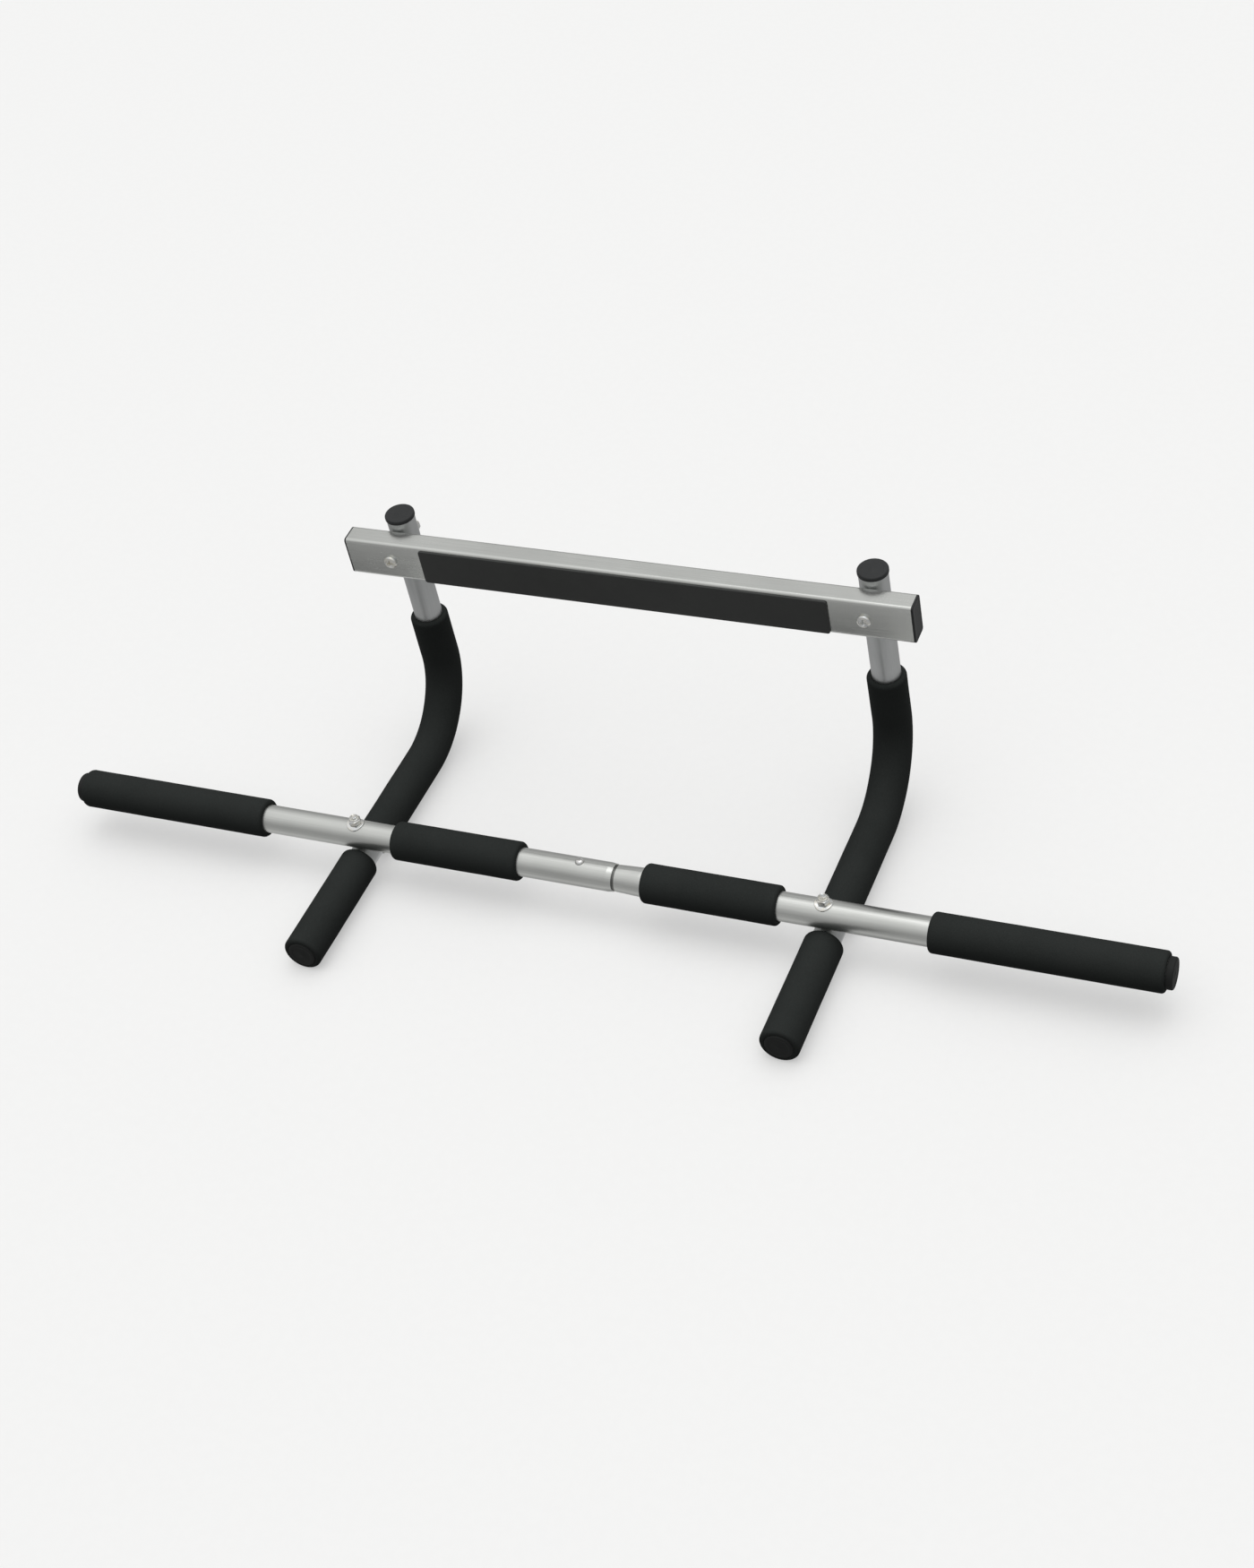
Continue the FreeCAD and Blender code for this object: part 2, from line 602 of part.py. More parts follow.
def plugs():
    """The handle plugs are flush with their tube, because the foam passes over them."""
    for name, side in SIDES:
        bar_plug = plug("bar_end_plug_" + name, TUBE_R + " + sizes.plug_lip",
                        "sizes.bar_plug_flange")
        place(bar_plug, signed(side, "sizes.bar_half"), BAR_Y, BAR_Z, Y_AXIS, 90 * side)
        handle_plug = plug("handle_plug_" + name, TUBE_R)
        place(handle_plug, signed(side, ARM_X), "(" + BAR_Y + ") - sizes.handle_reach", ARM_Z,
              X_AXIS, 90)
        top_cap = plug("arm_top_cap_" + name, TUBE_R + " + sizes.plug_lip")
        place_on_arm(top_cap, signed(side, ARM_X), ARM_RISE, "0", UPRIGHT)


# ---------------------------------------------------------------- cross bar
def cross_bar():
    """Rectangular tube with rounded corners and two screw holes."""
    body = new_body("cross_bar")
    outside = sketch_on(body, "YZ_Plane", "outside")
    rectangle(outside, "sizes.cross_depth / 2", "sizes.cross_height / 2")
    pad(body, outside, "2 * " + CROSS_HALF, both_ways=True)
    round_edges(body, lambda edge: runs_along(edge, X_AXIS), "sizes.cross_corner", "corners")
    inside = sketch_on(body, "YZ_Plane", "inside")
    rectangle(inside, "(sizes.cross_depth / 2 - sizes.cross_wall)",
              "(sizes.cross_height / 2 - sizes.cross_wall)")
    hole(body, inside, "bore")
    inner_y = size("cross_depth") / 2 - size("cross_wall")
    inner_z = size("cross_height") / 2 - size("cross_wall")

    def in_bore_corner(edge):
        middle = edge.CenterOfMass
        in_corner = abs(abs(middle.y) - inner_y) < 0.01 and abs(abs(middle.z) - inner_z) < 0.01
        return runs_along(edge, X_AXIS) and in_corner

    round_edges(body, in_bore_corner, "sizes.cross_corner - sizes.cross_wall", "bore_corners")
    screw_holes = sketch_on(body, "XZ_Plane", "screw_places")
    for _name, side in SIDES:
        circle(screw_holes, BOLT_HOLE_R, signed(side, ARM_X))
    hole(body, screw_holes, "screw_holes")
    place_on_arm(body, "0", "sizes.cross_rise", CROSS_MIDDLE, UPRIGHT)


def cross_bar_cap(node, side):
    """Cap for a rectangular tube: a thin plate outside X = 0 and a hollow stem inside."""
    body = new_body(node)
    plate = sketch_on(body, "YZ_Plane", "plate")
    rectangle(plate, "sizes.cross_depth / 2", "sizes.cross_height / 2")
    flange = pad(body, plate, "sizes.cross_cap_flange", "flange")
    flange.Reversed = side < 0
    round_edges(body, lambda edge: runs_along(edge, X_AXIS), "sizes.cross_corner", "corners")
    face = side * size("cross_cap_flange")
    round_edges(body, lambda edge: lies_at_x(edge, face), "sizes.cross_cap_flange / 2", "rim")
    margin = " - sizes.cross_wall - sizes.plug_gap"
    half_depth = "(sizes.cross_depth / 2" + margin + ")"
    half_height = "(sizes.cross_height / 2" + margin + ")"
    stem = sketch_on(body, "YZ_Plane", "stem_outline")
    rectangle(stem, half_depth, half_height)
    stem_pad = pad(body, stem, "sizes.cross_cap_stem", "stem")
    stem_pad.Reversed = side > 0
    inner_end = -side * size("cross_cap_stem")
    round_edges(body, lambda edge: runs_along(edge, X_AXIS) and reaches_x(edge, inner_end),
                "sizes.cross_corner - sizes.cross_wall", "stem_corners")
    hollow = sketch_on(body, "YZ_Plane", "hollow_outline",
                       lift=signed(-side, "sizes.cross_cap_stem"))
    rectangle(hollow, half_depth + " - sizes.plug_wall", half_height + " - sizes.plug_wall")
    recess(body, hollow, "sizes.cross_cap_stem - sizes.plug_wall", "hollow", reverse=side > 0)
    return body


def lies_at_x(edge, place_x):
    box = edge.BoundBox
    return abs(box.XMin - place_x) < 0.01 and abs(box.XMax - place_x) < 0.01


def reaches_x(edge, place_x):
    box = edge.BoundBox
    return abs(box.XMin - place_x) < 0.01 or abs(box.XMax - place_x) < 0.01


def cross_bar_caps():
    for name, side in SIDES:
        cap = cross_bar_cap("cross_bar_cap_" + name, side)
        place_on_arm(cap, signed(side, CROSS_HALF), "sizes.cross_rise", CROSS_MIDDLE, UPRIGHT)


def wall_pad():
    """Rubber strip on the front face of the cross bar, its face turned towards the wall."""
    body = new_body("wall_pad")
    face = sketch_on(body, "XY_Plane", "face")
    rectangle(face, ARM_X + " - sizes.pad_to_arm",
              "(sizes.cross_height - sizes.pad_above - sizes.pad_below) / 2")
    pad(body, face, "sizes.pad_thick")
    round_edges(body, lambda edge: runs_along(edge, Vector(0, 0, 1)), "sizes.pad_corner", "corners")
    top = size("pad_thick")
    round_edges(body, lambda edge: abs(edge.BoundBox.ZMin - top) < 0.01,
                "sizes.pad_thick / 4", "rim")
    rise = "sizes.cross_rise - (sizes.pad_above - sizes.pad_below) / 2"
    place_on_arm(body, "0", rise, CROSS_FACE, FACING_FRONT)


# ---------------------------------------------------------------- fasteners
def bolt(node, head_diameter, head_height, head_round, length):
    """Bolt with its head above Z = 0 and its shank below."""
    head_radius = head_diameter + " / 2"
    body = turned_about_z(node, [
        (None, head_height),
        (head_radius, head_height),
        (head_radius, None),
        (BOLT_R, None),
        (BOLT_R, "sizes.bolt_tip - " + length),
        (BOLT_R + " - sizes.bolt_tip", minus(length)),
        (None, minus(length)),
    ])
    rim_radius = size(head_diameter.split(".")[1]) / 2
    top = Vector(0, 0, size(head_height.split(".")[1]))
    round_edges(body, lambda edge: is_rim(edge, rim_radius, top), head_round, "dome")
    return body


def bar_bolt(node):
    """Button head bolt with a hex socket."""
    body = bolt(node, "sizes.button_head_dia", "sizes.button_head", "sizes.button_head_round",
                BAR_BOLT_LENGTH)
    socket = sketch_on(body, "XY_Plane", "socket_outline", lift="sizes.button_head")
    hexagon(socket, "sizes.hex_key")
    recess(body, socket, "sizes.hex_depth", "socket")
    return body


def cross_bar_screw(node):
    """Pan head screw with a cross recess."""
    body = bolt(node, "sizes.pan_head_dia", "sizes.pan_head", "sizes.pan_head_round",
                CROSS_SCREW_LENGTH)
    slot = sketch_on(body, "XY_Plane", "recess_outline", lift="sizes.pan_head")
    long_half = "sizes.cross_slot_length / 2"
    short_half = "sizes.cross_slot / 2"
    corners = [(long_half, short_half), (short_half, short_half), (short_half, long_half)]
    mirrored = [(minus(across), up) for across, up in reversed(corners)]
    upper = corners + mirrored
    lower = [(minus(across), minus(up)) for across, up in upper]
    outline(slot, upper + lower)
    recess(body, slot, "sizes.cross_slot_depth", "recess")
    return body


def hexagon(sketch, flats):
    corner = flats + " / sqrt(3)"
    points = []
    for number in range(6):
        angle = 30 + 60 * number
        across = None if angle in (90, 270) else "%s * cos(%d)" % (corner, angle)
        points.append((across, "%s * sin(%d)" % (corner, angle)))
    outline(sketch, points)


def lock_nut(node):
    """Hexagon with chamfered corners and a round collar, bored for the bolt and its ring."""
    body = new_body(node)
    flats = sketch_on(body, "XY_Plane", "flats")
    hexagon(flats, "sizes.nut_flats")
    pad(body, flats, "sizes.nut_height", "hexagon")
    chamfer = sketch_on(body, "XZ_Plane", "chamfer_outline")
    inside = "(sizes.nut_flats / 2)"
    outside = "(sizes.nut_flats / sqrt(3) + sizes.nut_chamfer)"
    outline(chamfer, [
        (inside, "sizes.nut_height"),
        (outside, "sizes.nut_height"),
        (outside, "sizes.nut_height - 2 * sizes.nut_chamfer"),
    ])
    doc.recompute()
    volume_before = body.Shape.Volume
    groove = feature_of(body, "Groove", "chamfer", chamfer)
    groove.ReferenceAxis = (chamfer, ["V_Axis"])
    groove.Angle = 360
    doc.recompute()
    must_cut(body, volume_before, "chamfer")
    collar = sketch_on(body, "XY_Plane", "collar_outline", lift="sizes.nut_height")
    circle(collar, INSERT_R + " + sizes.nut_collar_wall")
    pad(body, collar, "sizes.nut_collar", "collar")
    bore = sketch_on(body, "XY_Plane", "bore_outline")
    circle(bore, NUT_BORE_R)
    hole(body, bore, "bore")
    ring_seat = sketch_on(body, "XY_Plane", "ring_seat_outline", lift=NUT_TOP)
    circle(ring_seat, INSERT_R)
    recess(body, ring_seat, "sizes.insert_height", "ring_seat")
    return body


def lock_ring(node):
    """Nylon ring in the collar of a lock nut."""
    body = new_body(node)
    ring = sketch_on(body, "XY_Plane", "ring", lift=NUT_TOP + " - sizes.insert_height")
    circle(ring, INSERT_R)
    circle(ring, NUT_BORE_R)
    pad(body, ring, "sizes.insert_height")
    return body


def lying_cylinder(name, radius, along):
    """Cylinder through the origin along X or Y, long enough to span a saddle washer."""
    rod = doc.addObject("Part::Cylinder", name)
    rod.setExpression("Radius", radius)
    rod.setExpression("Height", "2 * sizes.saddle_dia")
    if along == "X":
        rod.Placement = Placement(Vector(0, 0, 0), Rotation(Y_AXIS, 90))
        rod.setExpression("Placement.Base.x", "-sizes.saddle_dia")
    else:
        rod.Placement = Placement(Vector(0, 0, 0), Rotation(X_AXIS, -90))
        rod.setExpression("Placement.Base.y", "-sizes.saddle_dia")
    return rod


def upright_cylinder(name, radius):
    """Cylinder from the tube's axis to well above the crown of the saddle washer."""
    rod = doc.addObject("Part::Cylinder", name)
    rod.setExpression("Radius", radius)
    rod.setExpression("Height", SADDLE_TOP + " + sizes.saddle_thick")
    return rod


def boolean(kind, name, base, tool):
    result = doc.addObject("Part::" + kind, name)
    result.Base = base
    result.Tool = tool
    return result


def saddle(node, along):
    """Curved washer: a punched disc cut out of the shell that lies on a tube along X or Y."""
    shell = boolean("Cut", node + "_shell", lying_cylinder(node + "_back", SADDLE_TOP, along),
                    lying_cylinder(node + "_hollow", SADDLE_R, along))
    disc = boolean("Cut", node + "_disc", upright_cylinder(node + "_blank", "sizes.saddle_dia / 2"),
                   upright_cylinder(node + "_punch", BOLT_HOLE_R))
    washer = doc.addObject("Part::MultiCommon", node + "_washer")
    washer.Shapes = [shell, disc]
    washer.Label = node
    return washer


def bar_fasteners():
    """Each bar bolt comes up through arm and bar, with a saddle washer at both ends."""
    under_arm = ARM_Z + " - " + SADDLE_TOP
    on_bar = BAR_Z + " + " + SADDLE_TOP
    for name, side in SIDES:
        across = signed(side, ARM_X)
        place(bar_bolt("bar_bolt_" + name), across, BAR_Y, under_arm, X_AXIS, 180)
        place(saddle("arm_saddle_" + name, "Y"), across, BAR_Y, ARM_Z, X_AXIS, 180)
        place(saddle("bar_saddle_" + name, "X"), across, BAR_Y, BAR_Z)
        place(lock_nut("bar_nut_" + name), across, BAR_Y, on_bar)
        place(lock_ring("bar_nut_ring_" + name), across, BAR_Y, on_bar)


def cross_bar_fasteners():
    """Each cross bar screw goes back through cross bar and arm to its nut."""
    rise = "sizes.cross_rise"
    behind_arm = minus(SADDLE_TOP)
    for name, side in SIDES:
        across = signed(side, ARM_X)
        place_on_arm(cross_bar_screw("cross_bar_screw_" + name), across, rise, CROSS_FACE,
                     FACING_FRONT)
        place_on_arm(saddle("cross_bar_saddle_" + name, "Y"), across, rise, "0", FACING_BACK)
        place_on_arm(lock_nut("cross_bar_nut_" + name), across, rise, behind_arm, FACING_BACK)
        place_on_arm(lock_ring("cross_bar_nut_ring_" + name), across, rise, behind_arm,
                     FACING_BACK)


# ---------------------------------------------------------------- build, check and write
def sub_parts():
    """The objects that stand for a piece: every body, and every saddle washer."""
    kinds = ("PartDesign::Body", "Part::MultiCommon")
    return [item for item in doc.Objects if item.TypeId in kinds]


def check_all():
    """Stop if any object failed or any sub-part is not one or more valid solids."""
    for item in doc.Objects:
        if "Invalid" in item.State or "Error" in item.State:
            raise RuntimeError(item.Label + " failed: " + str(item.State))
    for item in sub_parts():
        shape = item.Shape
        if shape.isNull() or not shape.isValid() or not shape.Solids:
            raise RuntimeError(item.Label + " is not a valid solid")


def write_steps():
    os.makedirs("parts", exist_ok=True)
    for item in sub_parts():
        item.Shape.exportStep(os.path.join("parts", item.Label + ".step"))
        print("%-26s %10.1f mm3" % (item.Label, item.Shape.Volume))
    print(len(sub_parts()), "sub-parts")


main_bar_left()
main_bar_right()
snap_button()
snap_spring()
bar_grips()
handle_grips()
arms()
plugs()
cross_bar()
cross_bar_caps()
wall_pad()
bar_fasteners()
cross_bar_fasteners()
doc.recompute()
check_all()
write_steps()
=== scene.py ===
# %% [markdown]
# # A doorway pull up bar
# A telescoping steel bar with foam grips lies across two bent arms. The arms carry a padded cross
# bar that bears on the wall above a door, while the main bar bears on the other side of it. The
# engineering model fixes every size and place, and every piece below takes its place from there.
# This notebook adds what an engineering model leaves out: foam with soft rims, threads on the
# bolts, moulded plugs, pressed washers, and steel that looks drawn and plated.

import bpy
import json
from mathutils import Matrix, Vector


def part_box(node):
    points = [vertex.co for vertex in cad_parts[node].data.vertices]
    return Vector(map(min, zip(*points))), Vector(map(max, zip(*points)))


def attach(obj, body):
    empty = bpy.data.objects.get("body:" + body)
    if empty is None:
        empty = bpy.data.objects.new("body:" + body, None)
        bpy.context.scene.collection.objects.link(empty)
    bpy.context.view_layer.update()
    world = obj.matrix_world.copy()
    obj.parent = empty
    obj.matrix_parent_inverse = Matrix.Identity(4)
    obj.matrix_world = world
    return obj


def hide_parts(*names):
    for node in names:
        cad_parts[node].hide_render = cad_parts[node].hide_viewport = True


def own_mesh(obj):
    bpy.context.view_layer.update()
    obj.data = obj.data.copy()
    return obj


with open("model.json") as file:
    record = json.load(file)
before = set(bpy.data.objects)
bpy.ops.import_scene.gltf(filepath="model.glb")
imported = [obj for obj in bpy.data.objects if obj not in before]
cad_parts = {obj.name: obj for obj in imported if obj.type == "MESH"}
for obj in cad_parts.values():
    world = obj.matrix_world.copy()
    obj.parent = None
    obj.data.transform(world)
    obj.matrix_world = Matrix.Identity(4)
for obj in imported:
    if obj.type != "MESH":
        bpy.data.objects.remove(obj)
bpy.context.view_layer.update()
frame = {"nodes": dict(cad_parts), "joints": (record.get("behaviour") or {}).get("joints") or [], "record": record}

# %% Tools for meshes, materials and numbers
import json
import math

import bmesh
import bpy
from mathutils import Matrix, Vector, noise

MM = 0.001
SIDES = {"left": -1, "right": 1}
scene = bpy.context.scene
print("nodes in the model:", len(frame["nodes"]))

# %% [markdown]
# ## Directions
# Every piece lies along one of three lines. The main bar and the cross bar run along X. The arms
# start level, bend, and rise at a little more than a right angle, so that the cross bar leans
# towards the wall. The record states which way the pad faces the wall, and the other two follow
# from it.

# %% The three directions of the object
ALONG_BAR = Vector((1, 0, 0))
UP = Vector((0, 0, 1))
LEVEL = Vector((0, 1, 0))
mounts = {mount["name"]: mount for mount in frame["record"]["mounts"]}
TO_WALL = Vector(mounts["wall_face"]["axis"]).normalized()
RISER = TO_WALL.cross(ALONG_BAR)
BEND = LEVEL.angle(RISER)
print("the arms bend by", round(math.degrees(BEND), 2), "degrees")

# %% [markdown]
# ## Finding a piece's place
# A plug or a nut is easiest to draw upright around its own axis, and then to stand in its place.
# The place is read from the engineering node: how far its points reach along its axis gives the
# low end and the length, and how far they reach across it gives the middle. This works for a
# leaning piece too, where a plain box would be too large.

# %% Measure a node along any direction, and stand a piece on it
def reach(node, direction):
    """How low and how high a node of the engineering model reaches along a direction."""
    points = [vertex.co.dot(direction) for vertex in frame["nodes"][node].data.vertices]
    return min(points), max(points)


def middle(node, direction):
    return sum(reach(node, direction)) / 2


def size_of(node, direction):
    low, high = reach(node, direction)
    return high - low


def stand(node, axis, across):
    """The place of a node: Z runs along its axis from its low end, and X runs across it."""
    sideways = axis.cross(across)
    origin = reach(node, axis)[0] * axis + middle(node, across) * across
    origin += middle(node, sideways) * sideways
    place = Matrix((across, sideways, axis)).transposed().to_4x4()
    place.translation = origin
    return place


TUBE_RADIUS = size_of("main_bar_left", UP) / 2
FOAM_RADIUS = size_of("handle_grip_left", UP) / 2
TUBE_WALL = 1.5 * MM
SEAT_GAP = 0.05 * MM
print("tube and foam across, mm:", round(2 * TUBE_RADIUS / MM, 2), round(2 * FOAM_RADIUS / MM, 2))

# %% [markdown]
# ## From an outline to a skin
# Nearly everything here is turned, extruded or moulded, so it is drawn as an outline with rounded
# corners. A modifier could bevel the corners afterwards, but an outline with its arcs already in
# it keeps even rows of four-sided faces. The skin is then made from rings of points, each joined
# to the next. A ring of a single point closes the skin like the pole of a globe.

# %% Round the corners of an outline
def soften(corners, steps=5):
    """Points of an outline from corners (x, y, rounding): a rounded corner becomes an arc."""
    points = []
    for number, (x, y, rounding) in enumerate(corners):
        corner = Vector((x, y))
        if rounding == 0:
            points.append(corner)
            continue
        back = (Vector(corners[number - 1][:2]) - corner).normalized()
        ahead = (Vector(corners[(number + 1) % len(corners)][:2]) - corner).normalized()
        half = back.angle(ahead) / 2
        centre = corner + (back + ahead).normalized() * rounding / math.sin(half)
        start = corner + back * rounding / math.tan(half) - centre
        end = corner + ahead * rounding / math.tan(half) - centre
        turn = math.atan2(start.x * end.y - start.y * end.x, start.dot(end))
        for step in range(steps + 1):
            points.append(centre + Matrix.Rotation(turn * step / steps, 2) @ start)
    return points


def divide(points, longest, closed=True):
    """The same outline with its long edges cut into shorter ones."""
    ends = points[1:] + points[:1] if closed else points[1:]
    finer = []
    for start, end in zip(points, ends):
        parts = max(1, math.ceil((end - start).length / longest))
        finer += [start.lerp(end, part / parts) for part in range(parts)]
    return finer if closed else finer + [points[-1]]


rim = soften([(0, 0, 0), (10, 0, 3), (10, 10, 0)])
print("one rounded corner has", len(rim) - 2, "points")

# %% Join rings of points into a mesh
def skin(name, rings, looped=False, crease=40):
    """A smooth mesh through rings of points; looped joins the last ring to the first one."""
    mesh = bpy.data.meshes.new(name)
    build = bmesh.new()
    rows = [[build.verts.new(point) for point in ring] for ring in rings]
    if looped:
        rows.append(rows[0])
    for low, high in zip(rows, rows[1:]):
        for step in range(max(len(low), len(high))):
            corners = (low[step % len(low)], low[(step + 1) % len(low)],
                       high[(step + 1) % len(high)], high[step % len(high)])
            face = list(dict.fromkeys(corners))
            if len(face) > 2:
                build.faces.new(face)
    bmesh.ops.recalc_face_normals(build, faces=build.faces)
    build.to_mesh(mesh)
    build.free()
    mesh.shade_smooth()
    mesh.set_sharp_from_angle(angle=math.radians(crease))
    piece = bpy.data.objects.new(name, mesh)
    scene.collection.objects.link(piece)
    return piece


def circle(radius, height, count=64):
    """A ring of points round Z; with no radius it is one point."""
    if radius == 0:
        return [Vector((0, 0, height))]
    turns = [math.tau * step / count for step in range(count)]
    return [Vector((radius * math.cos(turn), radius * math.sin(turn), height)) for turn in turns]


def put(place, rings):
    return [[place @ point for point in ring] for ring in rings]


def turned(name, place, outline, looped=False, count=64, crease=40):
    """A lathe: an outline of (height, radius) points turned round Z and stood in its place."""
    rings = [circle(radius, height, count) for height, radius in outline]
    return skin(name, put(place, rings), looped, crease)


print("a ring has", len(circle(1, 0)), "points")

# %% [markdown]
# ## Shader maths as plain Python
# A material varies over its surface because small formulas feed its colour, roughness and bumps.
# Wiring Math nodes by hand hides those formulas, so a small class wraps one socket, and ordinary
# operators on it add the nodes. Everything that isn't arithmetic comes from one method, which
# takes the node's type, its settings, and what goes into its sockets.

# %% One wire of a node tree
class Wire:
    """A socket whose arithmetic adds Math nodes, and whose node() adds any other node."""

    def __init__(self, tree, socket=None):
        self.tree = tree
        self.socket = socket

    def node(self, kind, settings, inputs, out=0):
        made = self.tree.nodes.new("ShaderNode" + kind)
        for name, value in settings.items():
            if name == "stops":
                set_stops(made.color_ramp, value)
            else:
                setattr(made, name, value)
        for name, value in inputs.items():
            if isinstance(value, Wire):
                self.tree.links.new(value.socket, made.inputs[name])
            else:
                made.inputs[name].default_value = value
        return Wire(self.tree, made.outputs[out])

    def maths(self, operation, *values):
        return self.node("Math", {"operation": operation}, dict(enumerate(values)))

    def __add__(self, other):
        return self.maths("ADD", self, other)

    def __radd__(self, other):
        return self.maths("ADD", other, self)

    def __sub__(self, other):
        return self.maths("SUBTRACT", self, other)

    def __rsub__(self, other):
        return self.maths("SUBTRACT", other, self)

    def __mul__(self, other):
        return self.maths("MULTIPLY", self, other)

    def __rmul__(self, other):
        return self.maths("MULTIPLY", other, self)


def set_stops(ramp, stops):
    """Give a ramp one stop for each (position, colour)."""
    while len(ramp.elements) < len(stops):
        ramp.elements.new(1)
    for element, (position, colour) in zip(ramp.elements, stops):
        element.position = position
        element.color = colour


print("operators ready:",
      [name for name in vars(Wire) if name.endswith("_") and name != "__init__"])

# %% Textures that every finish uses
def place_in_object(start):
    """Each point's place in the object, in metres."""
    return start.node("TexCoord", {}, {}, out="Object")


def stretched(start, scales):
    """Places with each direction scaled by itself, so that a round pattern becomes a streak."""
    settings = {"vector_type": "TEXTURE"}
    lengths = tuple(1 / scale for scale in scales)
    return start.node("Mapping", settings, {"Vector": place_in_object(start), "Scale": lengths})


def clouds(start, scale, detail=3.0, rough=0.55, where=None):
    """Soft noise from 0 to 1, with a given number of patches in a metre."""
    inputs = {"Vector": where or place_in_object(start), "Scale": scale}
    inputs.update({"Detail": detail, "Roughness": rough})
    return start.node("TexNoise", {}, inputs)


def steps_between(value, low, high):
    """0 below low, 1 above high, and smooth between them."""
    settings = {"interpolation_type": "SMOOTHSTEP"}
    return value.node("MapRange", settings, {0: value, 1: low, 2: high, 3: 0.0, 4: 1.0})


def two_colours(share, first, second):
    """The first colour where share is 0, and the second where it is 1; either can be a wire."""
    return share.node("Mix", {"data_type": "RGBA"}, {0: share, 6: first, 7: second}, out=2)


def two_tones(share, first, second):
    return two_colours(share, (*first, 1), (*second, 1))


def relief(height, depth, strength=1.0):
    """A bumped surface: height from 0 to 1 stands for depth metres."""
    return height.node("Bump", {}, {"Height": height, "Distance": depth, "Strength": strength})


def finish(name, make):
    """A material whose Principled shader gets the fixed and the varied inputs that make returns."""
    material = bpy.data.materials.new(name)
    material.use_nodes = True
    tree = material.node_tree
    shader = tree.nodes["Principled BSDF"]
    for socket, value in make(Wire(tree)).items():
        if isinstance(value, Wire):
            tree.links.new(value.socket, shader.inputs[socket])
        else:
            shader.inputs[socket].default_value = value
    print(name, "has", len(tree.nodes), "nodes")
    return material

# %% [markdown]
# ## Steel
# The tubes are drawn steel with a thin satin zinc plating. Drawing leaves faint lines along the
# tube, and plating softens them and gives the metal its slightly warm grey. The lines are noise
# stretched along the tube. They barely show as relief, and mostly as a change in how sharply the
# metal reflects. Larger soft patches stand for handling and uneven plating. Plating hardly reaches
# inside a tube, and the spigot of the telescoping joint is greased, so whatever lies deeper than
# the tube's wall is darker. That darker colour is also painted shade for the groove of the joint
# and the inside of the tube.

# %% Satin steel with a drawn grain
# How dark the spigot and the bore are: partly grease and bare steel, partly painted shade in the joint's groove
# and inside the tube.
GREASE_AND_PAINTED_SHADE = 0.30


def outside_share(start):
    """1 on the outside of the main bar, and 0 on its spigot and in its bore."""
    place = place_in_object(start)
    across = start.node("SeparateXYZ", {}, {0: place}, out="Y") - middle("main_bar_left", LEVEL)
    height = start.node("SeparateXYZ", {}, {0: place}, out="Z") - middle("main_bar_left", UP)
    radius = start.maths("SQRT", across * across + height * height)
    return steps_between(radius, TUBE_RADIUS - TUBE_WALL, TUBE_RADIUS - 0.9 * TUBE_WALL)


def drawn_steel(light, dark, roughness, grain_scales, patchiness=0.05):
    """A recipe for plated tube: grain_scales gives streaks per metre along X, Y and Z."""
    def make(start):
        grain = clouds(start, 1.0, detail=4.0, rough=0.6, where=stretched(start, grain_scales))
        patches = clouds(start, 14.0)
        specks = clouds(start, 900.0, detail=2.0)
        tone = 0.5 * grain + 0.5 * patches
        shine = roughness - 0.07 + 0.09 * grain + 2 * patchiness * (patches - 0.5) + 0.04 * specks
        plated = two_tones(steps_between(tone, 0.3, 0.7), dark, light)
        # The spigot and the bore get a darker colour, partly grease and bare steel and partly painted shade.
        greased_and_shaded = tuple(GREASE_AND_PAINTED_SHADE * level for level in dark)
        return {
            "Base Color": two_colours(outside_share(start), (*greased_and_shaded, 1), plated),
            "Metallic": 1.0,
            "Roughness": shine,
            "Normal": relief(0.7 * grain + 0.3 * specks, 0.012 * MM),
        }
    return make


BAR_STEEL = finish("satin_bar_steel", drawn_steel(
    (0.66, 0.67, 0.65), (0.58, 0.59, 0.57), 0.34, (14, 1500, 1500)))
CROSS_STEEL = finish("satin_cross_bar_steel", drawn_steel(
    (0.66, 0.67, 0.65), (0.58, 0.59, 0.57), 0.25, (12, 1300, 1300)))

# %% [markdown]
# The arms are the same tube, bent. Their grain has to turn with the bend: it lies level on the run
# under the main bar and upright on the riser. Two grains are mixed by height, and foam hides the
# stretch where one takes over from the other.

# %% Satin steel whose grain follows the bend
GRAIN_TURNS_AT = (40 * MM, 90 * MM)
ARM_DARK = (0.45, 0.46, 0.46)
ARM_LIGHT = (0.53, 0.54, 0.54)


def bent_steel(start):
    level_grain = clouds(start, 1.0, 4.0, 0.6, stretched(start, (1500, 14, 1500)))
    upright_grain = clouds(start, 1.0, 4.0, 0.6, stretched(start, (1500, 1500, 14)))
    height = start.node("SeparateXYZ", {}, {0: place_in_object(start)}, out="Z")
    upright = steps_between(height, *GRAIN_TURNS_AT)
    grain = upright_grain * upright + level_grain * (1 - upright)
    patches = clouds(start, 16.0)
    specks = clouds(start, 900.0, detail=2.0)
    tone = 0.5 * grain + 0.5 * patches
    return {
        "Base Color": two_tones(steps_between(tone, 0.3, 0.7), ARM_DARK, ARM_LIGHT),
        "Metallic": 1.0,
        "Roughness": 0.30 + 0.09 * grain + 0.08 * patches,
        "Normal": relief(0.7 * grain + 0.3 * specks, 0.012 * MM),
    }


ARM_STEEL = finish("satin_arm_steel", bent_steel)

# %% [markdown]
# The bolts, nuts and washers are bright zinc. Barrel plating leaves small cloudy patches and tiny
# pits, and the zinc has a faint cold or yellow cast from its passivation, so two casts are mixed.
# The leaf spring is bare tempered steel, darker and bluer. The snap button is polished.

